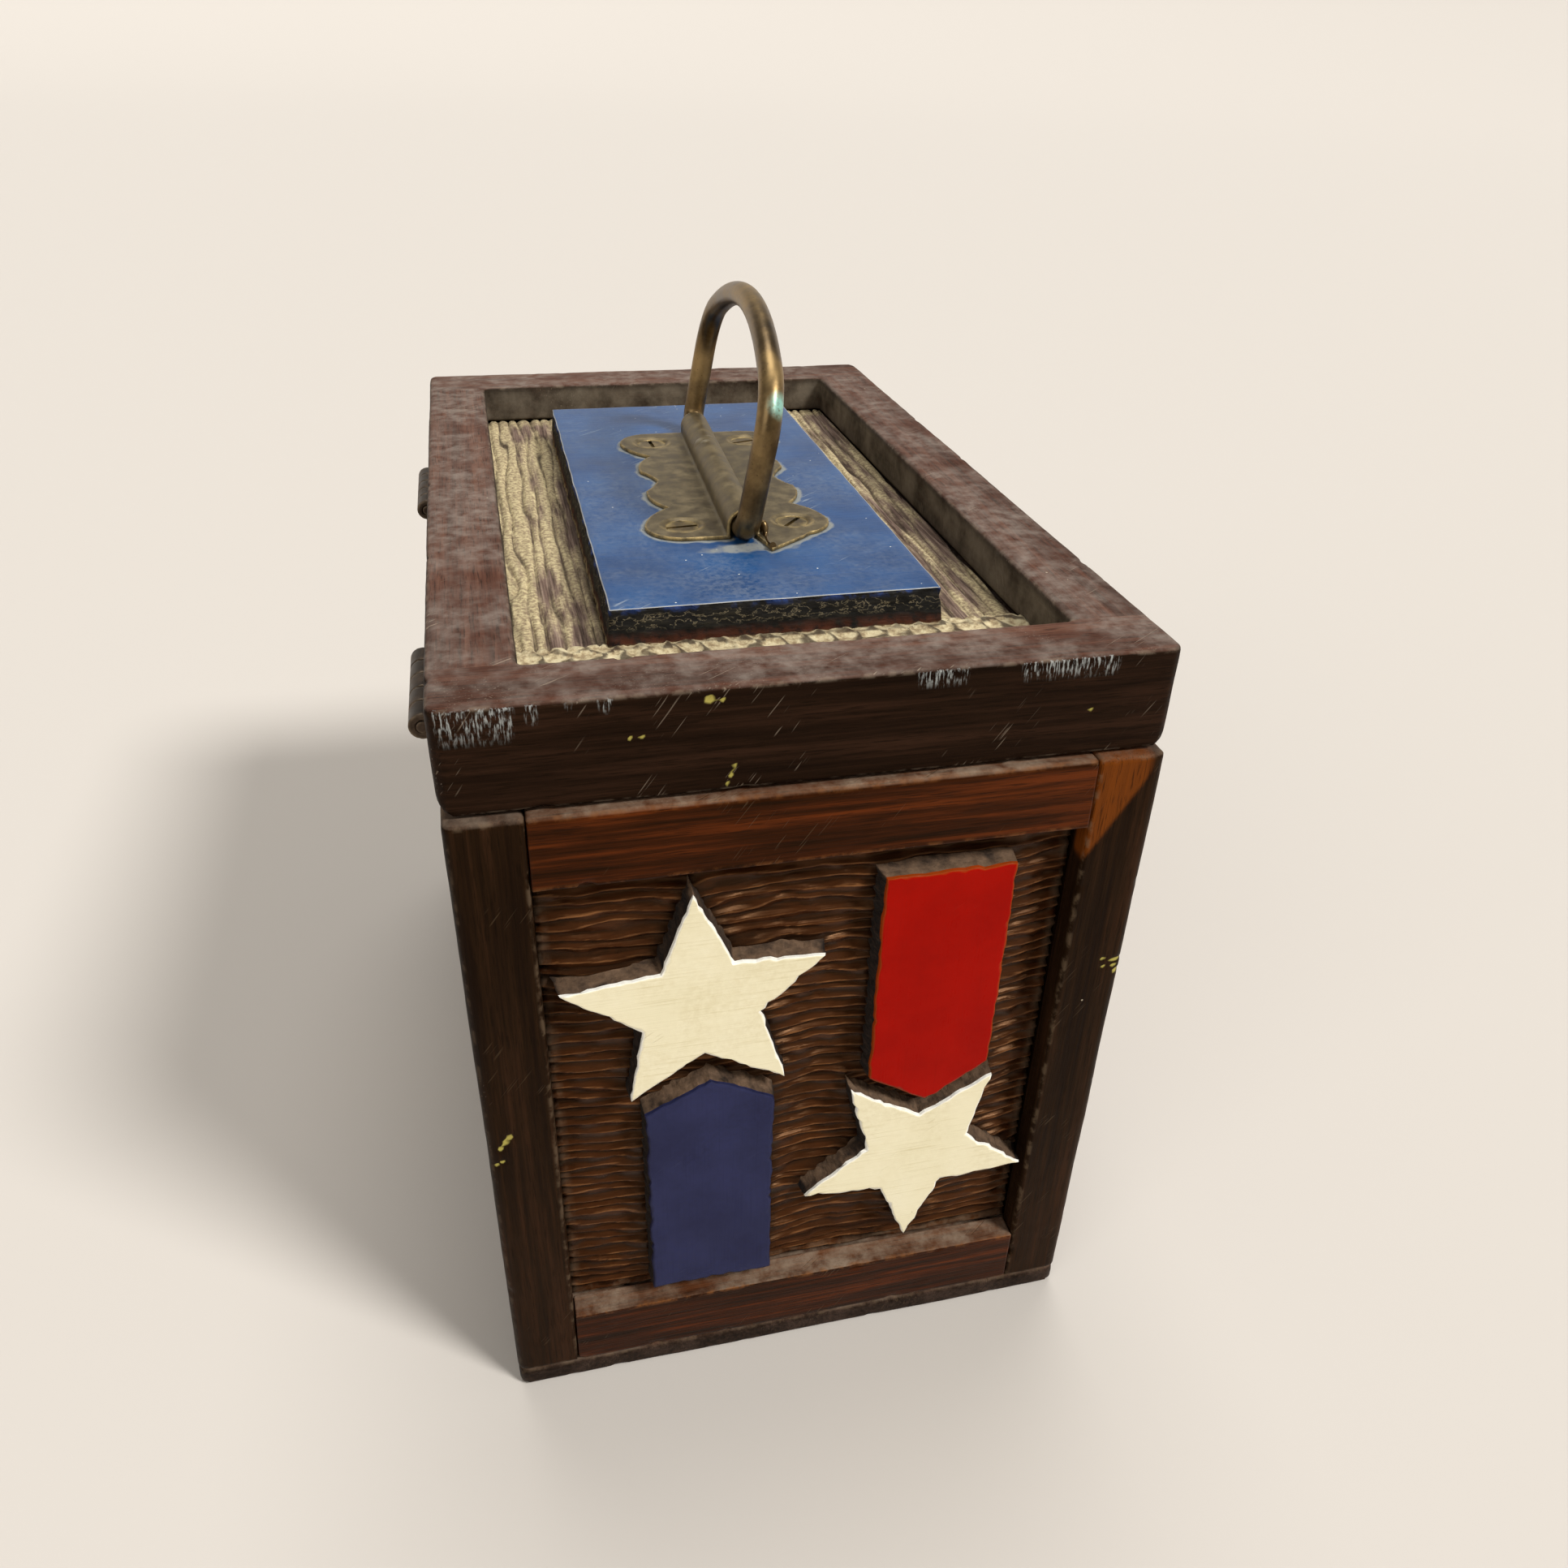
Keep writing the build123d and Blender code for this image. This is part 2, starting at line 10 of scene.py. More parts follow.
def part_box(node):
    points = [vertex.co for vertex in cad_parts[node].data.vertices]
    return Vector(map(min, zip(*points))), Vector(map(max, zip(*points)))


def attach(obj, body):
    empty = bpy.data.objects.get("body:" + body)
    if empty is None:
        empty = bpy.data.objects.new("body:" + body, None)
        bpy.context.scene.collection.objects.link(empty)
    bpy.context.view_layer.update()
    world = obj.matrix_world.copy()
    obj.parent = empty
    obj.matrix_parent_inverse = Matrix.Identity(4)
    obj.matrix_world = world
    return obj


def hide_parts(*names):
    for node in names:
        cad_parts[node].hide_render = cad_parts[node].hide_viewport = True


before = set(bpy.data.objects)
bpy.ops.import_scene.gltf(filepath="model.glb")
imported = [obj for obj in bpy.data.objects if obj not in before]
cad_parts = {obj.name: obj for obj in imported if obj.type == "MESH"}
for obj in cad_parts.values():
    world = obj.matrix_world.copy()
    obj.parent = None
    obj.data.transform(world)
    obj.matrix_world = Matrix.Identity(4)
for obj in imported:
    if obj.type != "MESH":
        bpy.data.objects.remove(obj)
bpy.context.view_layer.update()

mm = 0.001
scene = bpy.context.scene
scene.view_settings.view_transform = "Standard"  # colours come out as they are set


def linearColour(hexText):
    channels = [int(hexText[i:i + 2], 16) / 255 for i in (1, 3, 5)]
    linear = [c / 12.92 if c <= 0.04045 else ((c + 0.055) / 1.055) ** 2.4 for c in channels]
    return (*linear, 1.0)


def addNode(tree, kind, settings=None, inputs=None):
    # inputs are named or numbered, and hold a value, a hex colour, a socket or a node;
    # the setting "tones" gives a ramp its colours and the two ends they are spread between
    node = tree.nodes.new(kind)
    for key, value in (settings or {}).items():
        if key != "tones":
            setattr(node, key, value)
            continue
        colours, low, high = value
        stops = node.color_ramp.elements
        while len(stops) < len(colours):
            stops.new(0.5)
        for index, colour in enumerate(colours):
            stops[index].position = low + (high - low) * index / (len(colours) - 1)
            stops[index].color = linearColour(colour)
    for key, value in (inputs or {}).items():
        socket = node.inputs[key]
        if isinstance(value, bpy.types.Node):
            value = next(out for out in value.outputs if out.enabled)
        if isinstance(value, bpy.types.NodeSocket):
            tree.links.new(value, socket)
        elif isinstance(value, str) and value.startswith("#"):
            socket.default_value = linearColour(value)
        else:
            socket.default_value = value
    return node


def newFinish(name):
    # an empty material, and the object coordinates its patterns lie in
    finish = bpy.data.materials.new(name)
    finish.use_nodes = True
    tree = finish.node_tree
    tree.nodes.clear()
    return finish, tree, addNode(tree, "ShaderNodeTexCoord").outputs["Object"]


def shaded(tree, colour, rough, height, strength, depth, **more):
    # the shader and its output; the relief's depth is in mm
    bump = addNode(tree, "ShaderNodeBump", inputs={"Strength": strength, "Distance": depth * mm, "Height": height})
    inputs = {"Base Color": colour, "Roughness": rough, "Normal": bump}
    inputs.update((label.replace("_", " "), value) for label, value in more.items())
    shader = addNode(tree, "ShaderNodeBsdfPrincipled", inputs=inputs)
    addNode(tree, "ShaderNodeOutputMaterial", inputs={"Surface": shader})


def together(tree, *masks):
    # product of masks: each is a number, a socket, the name of a stored value, or one of these
    # with the range it is read over and, if it isn't 0 to 1, the range it becomes
    product = None
    for mask in masks:
        source, span = (mask[0], mask[1:]) if isinstance(mask, tuple) else (mask, ())
        if isinstance(source, str):
            source = addNode(tree, "ShaderNodeAttribute", {"attribute_name": source}).outputs["Fac"]
        if span:
            ends = dict(zip(("From Min", "From Max", "To Min", "To Max"), span))
            source = addNode(tree, "ShaderNodeMapRange", inputs={"Value": source, **ends}).outputs[0]
        if product is not None:
            source = addNode(tree, "ShaderNodeMath", {"operation": "MULTIPLY"}, {0: product, 1: source}).outputs[0]
        product = source
    return product


def laidOver(tree, mask, under, over, strength=1.0):
    # colour over colour by a mask
    share = {0: together(tree, mask), 1: strength}
    share = addNode(tree, "ShaderNodeMath", {"operation": "MULTIPLY", "use_clamp": True}, share)
    return addNode(tree, "ShaderNodeMix", {"data_type": "RGBA"}, {0: share, 6: under, 7: over}).outputs[2]


def streaks(tree, where, grainAxis, across, along, detail, shift):
    # noise drawn out along the grain, sizes in mm
    scale = [1 / (across * mm)] * 3
    scale[grainAxis] = 1 / (along * mm)
    drawnOut = {"Vector": where, "Scale": scale, "Location": (shift,) * 3}
    drawnOut = addNode(tree, "ShaderNodeMapping", inputs=drawnOut)
    cloud = {"Vector": drawnOut, "Scale": 1.0, "Detail": detail, "Roughness": 0.6}
    return addNode(tree, "ShaderNodeTexNoise", inputs=cloud).outputs[0]


def patches(tree, where, size, low, high, detail, shift):
    # blotchy mask from 0 to 1, patch size in mm
    moved = addNode(tree, "ShaderNodeMapping", inputs={"Vector": where, "Location": (shift,) * 3})
    cloud = {"Vector": moved, "Scale": 1 / (size * mm), "Detail": detail, "Roughness": 0.62}
    cloud = addNode(tree, "ShaderNodeTexNoise", inputs=cloud)
    ends = {"Value": cloud, "From Min": low, "From Max": high}
    return addNode(tree, "ShaderNodeMapRange", {"interpolation_type": "SMOOTHSTEP"}, ends).outputs[0]


def scratchMarks(tree, where, lieAxis, turn, width, length, shift):
    # a few straight marks: the highest crests of a noise drawn out very long, sizes in mm
    turned = addNode(tree, "ShaderNodeMapping", inputs={"Vector": where, "Rotation": turn})
    lines = streaks(tree, turned, lieAxis, width, length, 0.0, shift)
    return together(tree, (lines, 0.71, 0.77), patches(tree, where, 13.0, 0.58, 0.64, 1.0, shift + 2))


def specks(tree, where, spacing, radius, share):
    # small round flecks, spacing in mm, radius and share from 0 to 1
    cells = addNode(tree, "ShaderNodeTexVoronoi", inputs={"Vector": where, "Scale": 1 / (spacing * mm)}).outputs
    near = addNode(tree, "ShaderNodeMath", {"operation": "LESS_THAN"}, {0: cells["Distance"], 1: radius})
    lot = addNode(tree, "ShaderNodeSeparateColor", inputs={0: cells["Color"]})
    chosen = addNode(tree, "ShaderNodeMath", {"operation": "LESS_THAN"}, {0: lot, 1: share})
    return together(tree, near.outputs[0], chosen.outputs[0])


def dulled(tree, pattern, span, cover, extra):
    # roughness that follows a pattern, and rises where dust or crust covers it
    rough = {0: cover, 1: extra, 2: together(tree, (pattern, 0.3, 0.7, *span))}
    return addNode(tree, "ShaderNodeMath", {"operation": "MULTIPLY_ADD", "use_clamp": True}, rough)


# woods: streaks are mm across, mm along, detail and shift
woodStreaks = {"broad": (7.0, 110.0, 3.0, 0), "grain": (1.0, 34.0, 5.0, 5), "fibre": (0.32, 6.0, 2.0, 9)}
woodMarks = {"sapwood": "#64320c", "insideDust": "#7d7262", "whiteRub": "#a3a6a2", "yellowPaint": "#a89c50",
             "amberWax": "#e0a878"}


def stainedWood(name, look):
    # Walnut-stained softwood, planed and waxed, with years of handling: streaky grain, dark pores,
    # top faces in lighter tones as a painted highlight, under fine dust, bare corners, white scuffs, scratches and
    # flecks.
    finish, tree, where = newFinish(name)
    axis, shift = look["grainAxis"], look["shift"]
    broad, grain, fibre = (
        streaks(tree, where, axis, across, along, detail, shift + move)
        for across, along, detail, move in woodStreaks.values())
    mixed = addNode(tree, "ShaderNodeMix", inputs={0: 0.5, 2: broad, 3: grain}).outputs[0]
    colour = addNode(tree, "ShaderNodeValToRGB", {"tones": (look["tones"], 0.38, 0.62)}, {0: mixed})
    # the same grain in lighter tones, laid on upward faces: a painted highlight on the tops
    paintedLitTop = addNode(tree, "ShaderNodeValToRGB", {"tones": (look["litTopTones"], 0.38, 0.62)}, {0: mixed})
    upward = together(tree, ("up", 0.45, 0.9))
    colour = laidOver(tree, upward, colour, paintedLitTop)
    sap = together(tree, "sap", (grain, 0.3, 0.7, 0.75, 1.0))
    colour = laidOver(tree, sap, colour, woodMarks["sapwood"])
    colour = laidOver(tree, (fibre, 0.55, 0.66), colour, look["pore"], 0.6)
    grime = patches(tree, where, 4.0, 0.25, 0.75, 10.0, shift + 1)
    dust = together(tree, upward, grime, patches(tree, where, 18.0, 0.3, 0.62, 5.0, shift + 6))
    colour = laidOver(tree, dust, colour, look["dust"], look["dustShare"])
    settledDust = together(tree, "inner", patches(tree, where, 9.0, 0.2, 0.8, 9.0, 2.0))
    colour = laidOver(tree, settledDust, colour, woodMarks["insideDust"], 0.8)
    worn = ("edge", 0.1, look["wornWidth"], 1.0, 0.0)
    worn = together(tree, worn, patches(tree, where, 3.0, 0.45, 0.62, 7.0, 2.0))
    colour = laidOver(tree, worn, colour, look["worn"], look["wornShare"])
    # marks lie in the plane they are seen on: slanting on top faces, steep on upright ones
    sideAxis, sideTurn = (1, (-0.95, 0, 0)) if axis == 1 else (0, (0, 0.95, 0))
    onTop = together(tree, scratchMarks(tree, where, 0, (0, 0, -0.6), 0.36, 17.0, shift), upward)
    onSide = together(tree, scratchMarks(tree, where, sideAxis, sideTurn, 0.3, 7.0, shift + 1), 0.55)
    scratches = addNode(tree, "ShaderNodeMath", {"operation": "MAXIMUM"}, {0: onTop, 1: onSide}).outputs[0]
    colour = laidOver(tree, scratches, colour, look["scratch"], look["scratchShare"])
    rubs = (streaks(tree, where, 2, 0.42, 2.4, 5.0, 13.0), 0.5, 0.62)
    rubs = together(tree, rubs, patches(tree, where, 2.6, 0.3, 0.5, 3.0, 3.0), ("scuff", 0.15, 0.7))
    colour = laidOver(tree, rubs, colour, woodMarks["whiteRub"], 0.7)
    colour = laidOver(tree, specks(tree, where, 2.6, 0.09, look["fleckShare"]), colour, look["fleck"], 0.8)
    colour = laidOver(tree, ("nick", 0.35, 0.7), colour, woodMarks["yellowPaint"], 0.8)
    height = addNode(tree, "ShaderNodeMix", inputs={0: 0.4, 2: grain, 3: fibre}).outputs[0]
    height = addNode(tree, "ShaderNodeMath", {"operation": "SUBTRACT"}, {0: height, 1: scratches})
    shaded(tree, colour, dulled(tree, grain, look["roughness"], dust, 0.35), height, 0.7, look["bump"],
           Specular_IOR_Level=look["shine"], Specular_Tint=woodMarks["amberWax"])
    return finish


postLook = {
    "grainAxis": 2, "shift": 0.0, "tones": ("#130a05", "#1e1208", "#2e1c10"), "pore": "#0d0703",
    "litTopTones": ("#2a1a12", "#3d2a1f", "#523a2c"), "worn": "#6e5c48", "wornWidth": 1.1, "wornShare": 0.6,
    "scratch": "#7c664c", "scratchShare": 0.25, "dust": "#7a6b5c", "dustShare": 0.8,
    "fleck": "#a89c86", "fleckShare": 0.008, "roughness": (0.4, 0.58), "bump": 0.16, "shine": 0.06,
}
railLook = dict(
    postLook, grainAxis=0, shift=2.0, tones=("#150701", "#301304", "#55250a"), pore="#120602",
    litTopTones=("#3a1c0c", "#55301a", "#6b4228"), worn="#7a4c28", roughness=(0.3, 0.46),
    fleckShare=0.003, dust="#8d7b68", dustShare=0.9, shine=0.14)
lidLook = dict(
    postLook, grainAxis=1, shift=4.0, tones=("#120a06", "#1c110a", "#2b1b12"), pore="#0c0704",
    litTopTones=("#361f16", "#4c2f24", "#614133"), worn="#8a7a68", wornWidth=0.9, wornShare=0.5,
    dust="#887d73", dustShare=0.7, scratch="#a08f7c", scratchShare=0.45, fleckShare=0.014,
    roughness=(0.45, 0.62))
lidRailLook = dict(lidLook, grainAxis=0, shift=6.0)
baseLook = dict(postLook, grainAxis=1, shift=8.0, tones=("#17100c", "#2a201a", "#3b2e27"))


def gougedWood(name, grainAxis, look):
    # Softwood cut back with a small gouge and stained: dark scoops and lighter rubbed ridges, partly stain and wear,
    # partly painted shade and highlight; painted shade round the roots of the motifs, dust in the corners.
    finish, tree, where = newFinish(name)
    grain = streaks(tree, where, grainAxis, 0.6, 14.0, 4.0, 1.0)
    lifted = addNode(tree, "ShaderNodeMath", {"operation": "MULTIPLY_ADD"}, {0: grain, 1: 1.0, 2: -0.5})
    lifted = addNode(tree, "ShaderNodeMath", {"operation": "ADD"}, {0: lifted, 1: together(tree, "ridge")})
    # from scoop to ridge: stain and wear, with a painted shade in the scoops and a painted highlight on the ridges
    tones = (look["valley"], look["slope"], look["slope"], look["ridge"])
    colour = addNode(tree, "ShaderNodeValToRGB", {"tones": (tones, 0.0, 1.1)}, {0: lifted})
    colour = laidOver(tree, patches(tree, where, 14.0, 0.4, 0.7, 3.0, 5.0), colour, look["valley"], 0.45)
    # painted shade round the roots of the motifs
    colour = laidOver(tree, ("crevice", 0.2, 2.4, 1.0, 0.0), colour, look["rootShade"], 0.7)
    dust = together(tree, ("margin", 0.0, 2.5, 1.0, 0.0), patches(tree, where, 3.0, 0.35, 0.6, 5.0, 7.0))
    colour = laidOver(tree, dust, colour, look["dust"], look["dustShare"])
    shaded(tree, colour, dulled(tree, grain, look["roughness"], dust, 0.4), grain, 0.6, 0.12,
           Specular_IOR_Level=0.32, Specular_Tint=woodMarks["amberWax"])
    return finish


gougedLook = {"valley": "#190b04", "slope": "#361b0a", "ridge": "#744c2c", "rootShade": "#0f0805", "dust": "#5e4e3e",
              "dustShare": 0.6, "roughness": (0.26, 0.4)}
recessLook = {
    "wood": ("#46362c", "#6b564a", "#8d7868"), "dust": ("#8f7d60", "#b8a67f", "#d6c698"),
    "fluff": ("#8a7658", "#b7a682", "#cfc19c"), "cut": "#33251b", "shade": "#241a14",
}


def dustyRecessWood(name, look):
    # Gouged ground of the lid, never wiped: tan house dust lies on the broad ridges and in corners, brown wood
    # shows where fingers reach, the cuts between ridges take a painted shade, and so does the ground beside the block.
    finish, tree, where = newFinish(name)
    grain = streaks(tree, where, 1, 0.5, 16.0, 4.0, 1.0)
    grit = patches(tree, where, 0.9, 0.3, 0.7, 5.0, 2.0)
    fibre = patches(tree, where, 1.6, 0.35, 0.65, 8.0, 4.0)
    wood = addNode(tree, "ShaderNodeValToRGB", {"tones": (look["wood"], 0.35, 0.65)}, {0: grain})
    dust = addNode(tree, "ShaderNodeValToRGB", {"tones": (look["dust"], 0.1, 0.9)}, {0: grit})
    fluff = addNode(tree, "ShaderNodeValToRGB", {"tones": (look["fluff"], 0.0, 1.0)}, {0: fibre})
    drifts = together(tree, (streaks(tree, where, 1, 4.0, 30.0, 7.0, 9.0), 0.42, 0.56))
    corners = together(tree, ("margin", 1.5, 7.0, 1.0, 0.0))
    cover = addNode(tree, "ShaderNodeMath", {"operation": "ADD", "use_clamp": True}, {0: drifts, 1: corners})
    colour = laidOver(tree, cover.outputs[0], wood, dust, 0.85)
    colour = laidOver(tree, "fluff", colour, fluff, 0.9)
    # painted shade in the narrow cuts between the ridges
    cut = together(tree, ("ridge", 0.62, 0.95), (streaks(tree, where, 1, 5.0, 22.0, 3.0, 5.0), 0.3, 0.5))
    colour = laidOver(tree, cut, colour, look["cut"], 0.85)
    colour = laidOver(tree, ("crevice", 0.0, 2.6, 1.0, 0.0), colour, look["shade"], 0.75)
    shaded(tree, colour, 0.85, grit, 0.8, 0.15, Specular_IOR_Level=0.25)
    return finish


def carvedSideWood(name):
    # Knife-cut flanks of the relief: torn end grain, nearly black, grey-brown dust on flanks that face up.
    finish, tree, where = newFinish(name)
    torn = streaks(tree, where, 2, 1.6, 0.5, 6.0, 3.0)
    tones = ("#0d0907", "#1c130d", "#33251b")
    colour = addNode(tree, "ShaderNodeValToRGB", {"tones": (tones, 0.35, 0.7)}, {0: torn})
    dust = together(tree, ("up", 0.3, 0.75), (torn, 0.3, 0.7, 0.6, 1.0),
                    patches(tree, where, 5.0, 0.25, 0.6, 7.0, 4.0))
    colour = laidOver(tree, dust, colour, "#755c46", 0.85)
    shaded(tree, colour, 0.8, torn, 1.0, 0.3, Specular_IOR_Level=0.25)
    return finish


blockSideLook = {
    "tones": ("#0a0908", "#151310", "#2a261e"), "foot": "#4a2413", "fluff": "#a8946c", "crack": "#867a60",
    "splash": "#1c3468",
}


def blockSideWood(name, look):
    # Sawn flank of the lid block under spilt black stain: cracked near the top, red-brown foot, dust at the
    # bottom; drop is the distance in mm below the top.
    finish, tree, where = newFinish(name)
    torn = streaks(tree, where, 0, 1.2, 5.0, 5.0, 3.0)
    colour = addNode(tree, "ShaderNodeValToRGB", {"tones": (look["tones"], 0.38, 0.72)}, {0: torn})
    foot = together(tree, ("drop", 4.5, 6.5), patches(tree, where, 3.0, 0.35, 0.6, 4.0, 1.0))
    colour = laidOver(tree, foot, colour, look["foot"], 0.9)
    fluff = together(tree, ("drop", 6.8, 8.2), patches(tree, where, 1.2, 0.3, 0.6, 5.0, 6.0))
    colour = laidOver(tree, fluff, colour, look["fluff"], 0.9)
    # a crack runs where the noise crosses its middle value
    crack = {0: streaks(tree, where, 0, 1.9, 4.0, 4.0, 8.0), 1: 0.5}
    crack = addNode(tree, "ShaderNodeMath", {"operation": "SUBTRACT"}, crack)
    crack = addNode(tree, "ShaderNodeMath", {"operation": "ABSOLUTE"}, {0: crack}).outputs[0]
    crack = together(tree, (crack, 0.0, 0.018, 1.0, 0.0), ("drop", 1.0, 1.6), ("drop", 3.6, 4.6, 1.0, 0.0))
    colour = laidOver(tree, crack, colour, look["crack"], 0.7)
    splash = together(tree, ("drop", 0.3, 1.4, 1.0, 0.0), patches(tree, where, 4.0, 0.45, 0.6, 3.0, 11.0))
    colour = laidOver(tree, splash, colour, look["splash"], 0.8)
    shaded(tree, colour, 0.72, torn, 1.0, 0.35, Specular_IOR_Level=0.2)
    return finish


def bareWood(name, grainAxis):
    # Back of a softwood board, never stained: brown with age, streaky, grimy in places.
    finish, tree, where = newFinish(name)
    grain = streaks(tree, where, grainAxis, 0.9, 40.0, 4.0, 6.0)
    tones = ("#2a1a0f", "#48301d", "#63472e")
    colour = addNode(tree, "ShaderNodeValToRGB", {"tones": (tones, 0.35, 0.65)}, {0: grain})
    colour = laidOver(tree, patches(tree, where, 30.0, 0.35, 0.7, 5.0, 3.0), colour, "#1f140c", 0.5)
    shaded(tree, colour, 0.75, grain, 0.7, 0.15, Specular_IOR_Level=0.2)
    return finish


def brushedPaint(name, look):
    # Oil enamel laid on by brush straight over wood: faint ridges along the strokes, a thicker lip at the
    # cut edge, lighter on cream, red and blue as a painted highlight, hairline marks, small chips and some dust.
    finish, tree, where = newFinish(name)
    shift = look["shift"]
    strokes = streaks(tree, where, look["strokeAxis"], 0.4, 18.0, 3.0, shift)
    tone = patches(tree, where, 16.0, 0.2, 0.8, 4.0, shift + 4)
    colour = addNode(tree, "ShaderNodeValToRGB", {"tones": (look["tones"], 0.0, 1.0)}, {0: tone})
    colour = laidOver(tree, (strokes, 0.56, 0.7), colour, look["hair"], look["hairShare"])
    # the lip colour: thick paint at the edge, and on cream, red and blue a painted highlight along it
    colour = laidOver(tree, ("rim", 0.25, 0.9), colour, look["lip"], look["lipAndHighlightShare"])
    haze = together(tree, patches(tree, where, look["hazeSize"], 0.3, 0.7, 7.0, shift + 1),
                    patches(tree, where, 1.1, 0.3, 0.7, 6.0, shift + 2))
    colour = laidOver(tree, haze, colour, look["haze"], look["hazeShare"])
    scratches = scratchMarks(tree, where, look["markAxis"], look["markTurn"], 0.4, 9.0, shift)
    colour = laidOver(tree, scratches, colour, look["scratch"], look["scratchShare"])
    colour = laidOver(tree, specks(tree, where, 1.8, 0.1, look["fleckShare"]), colour, look["fleck"], 0.9)
    crust = together(tree, ("crust", 0.25, 0.6), patches(tree, where, 1.4, 0.2, 0.45, 5.0, 6.0))
    colour = laidOver(tree, crust, colour, look["crust"], 0.85)
    dirt = addNode(tree, "ShaderNodeMath", {"operation": "MAXIMUM"}, {0: haze, 1: crust})
    height = addNode(tree, "ShaderNodeMath", {"operation": "SUBTRACT"}, {0: strokes, 1: scratches})
    height = addNode(tree, "ShaderNodeMath", {"operation": "MULTIPLY_ADD"}, {0: crust, 1: 3.0, 2: height})
    shaded(tree, colour, dulled(tree, strokes, look["roughness"], dirt, 0.3), height, 0.5, look["bump"],
           Specular_IOR_Level=look["shine"])
    return finish


creamLook = {
    "strokeAxis": 0, "markAxis": 0, "markTurn": (0, 0.6, 0), "shift": 1.0, "tones": ("#d8cfae", "#dcd3b3", "#dfd7ba"),
    "lip": "#efede6", "lipAndHighlightShare": 0.85, "hair": "#b9ab80", "hairShare": 0.5, "hazeSize": 12.0, "haze": "#b9a97c",
    "hazeShare": 0.3, "scratch": "#a8946a", "scratchShare": 0.3, "fleck": "#8a7450", "fleckShare": 0.008,
    "crust": "#86877f", "roughness": (0.5, 0.65), "bump": 0.12, "shine": 0.3,
}
redLook = dict(
    creamLook, shift=3.0, strokeAxis=2, tones=("#860600", "#8f0800", "#970a01"), lip="#7c4a14",
    lipAndHighlightShare=0.5, hair="#7e0a02", hairShare=0.3, haze="#7a1208", hazeShare=0.15, scratch="#b04028",
    scratchShare=0.1, fleck="#d8b090", fleckShare=0.002, roughness=(0.22, 0.34), bump=0.03, shine=0.04)
navyLook = dict(
    redLook, shift=5.0, tones=("#1c1d38", "#21233f", "#262847"), hair="#191a33", lip="#14152a",
    haze="#33365a", hazeShare=0.3, scratch="#4a4e70", fleck="#8a8ca0", roughness=(0.32, 0.44), shine=0.1)
blueLook = dict(
    creamLook, shift=7.0, strokeAxis=0, markTurn=(0, 0, -0.7), tones=("#0e355f", "#133f6d", "#1a4a7a"),
    lip="#c9c4b4", lipAndHighlightShare=0.8, hair="#2d5490", hairShare=0.25, hazeSize=26.0, haze="#84898c", hazeShare=0.34,
    scratch="#9aa4aa", scratchShare=0.4, fleck="#d8d6cc", fleckShare=0.09, roughness=(0.25, 0.4), bump=0.05,
    shine=0.33)


def agedMetal(name, look):
    # Metal dulled by age: bare metal on rubbed edges and ridges, which on the dimple rims, screw rims and rolled lip
    # is also a painted highlight, brown patina elsewhere, fine pitting.
    finish, tree, where = newFinish(name)
    cloud = patches(tree, where, look["patinaSize"], 0.3, 0.72, 6.0, look["shift"])
    colour = addNode(tree, "ShaderNodeValToRGB", {"tones": (look["tones"], 0.05, 0.95)}, {0: cloud})
    rubbedAndHighlight = together(tree, ("edge", 0.0, 1.0), patches(tree, where, 2.0, 0.3, 0.6, 4.0, 3.0))
    colour = laidOver(tree, rubbedAndHighlight, colour, look["rubbedAndHighlight"], look["rubbedAndHighlightShare"])
    colour = laidOver(tree, specks(tree, where, 0.9, 0.16, 0.3), colour, look["pit"], 0.5)
    green = together(tree, "verdigris", patches(tree, where, 0.8, 0.25, 0.5, 4.0, 2.0))
    colour = laidOver(tree, green, colour, look["verdigris"], 0.95)
    solder = together(tree, "solder", patches(tree, where, 1.2, 0.2, 0.45, 4.0, 5.0))
    colour = laidOver(tree, solder, colour, look["solder"], 0.8)
    rough = together(tree, (cloud, 0.0, 1.0, *look["roughness"]))
    dents = patches(tree, where, 3.5, 0.2, 0.8, 5.0, 8.0)
    shaded(tree, colour, rough, dents, 0.35, 0.04, Metallic=together(tree, (green, 0.0, 1.0, look["metallic"], 0.0)))
    return finish


plateLook = {
    "patinaSize": 4.0, "shift": 0.0, "tones": ("#544935", "#685c44", "#7b6e54"), "rubbedAndHighlight": "#d2b474",
    "rubbedAndHighlightShare": 0.55, "pit": "#3a3122", "verdigris": "#7fb0a0", "solder": "#8d8471", "metallic": 0.75,
    "roughness": (0.42, 0.6),
}
bailLook = dict(
    plateLook, shift=4.0, tones=("#4a3b26", "#6e5a3c", "#927950"), rubbedAndHighlight="#c9a566", rubbedAndHighlightShare=0.22,
    patinaSize=12.0, metallic=0.9, roughness=(0.3, 0.46))
hingeLook = dict(
    plateLook, shift=8.0, tones=("#241c15", "#3b2f25", "#55463a"), rubbedAndHighlight="#8a7862", rubbedAndHighlightShare=0.4,
    metallic=0.8, roughness=(0.4, 0.6))
screwLook = dict(
    plateLook, shift=11.0, tones=("#5a4c32", "#7c6b48", "#97825a"), rubbedAndHighlight="#e8cf90", metallic=0.95,
    roughness=(0.3, 0.45))

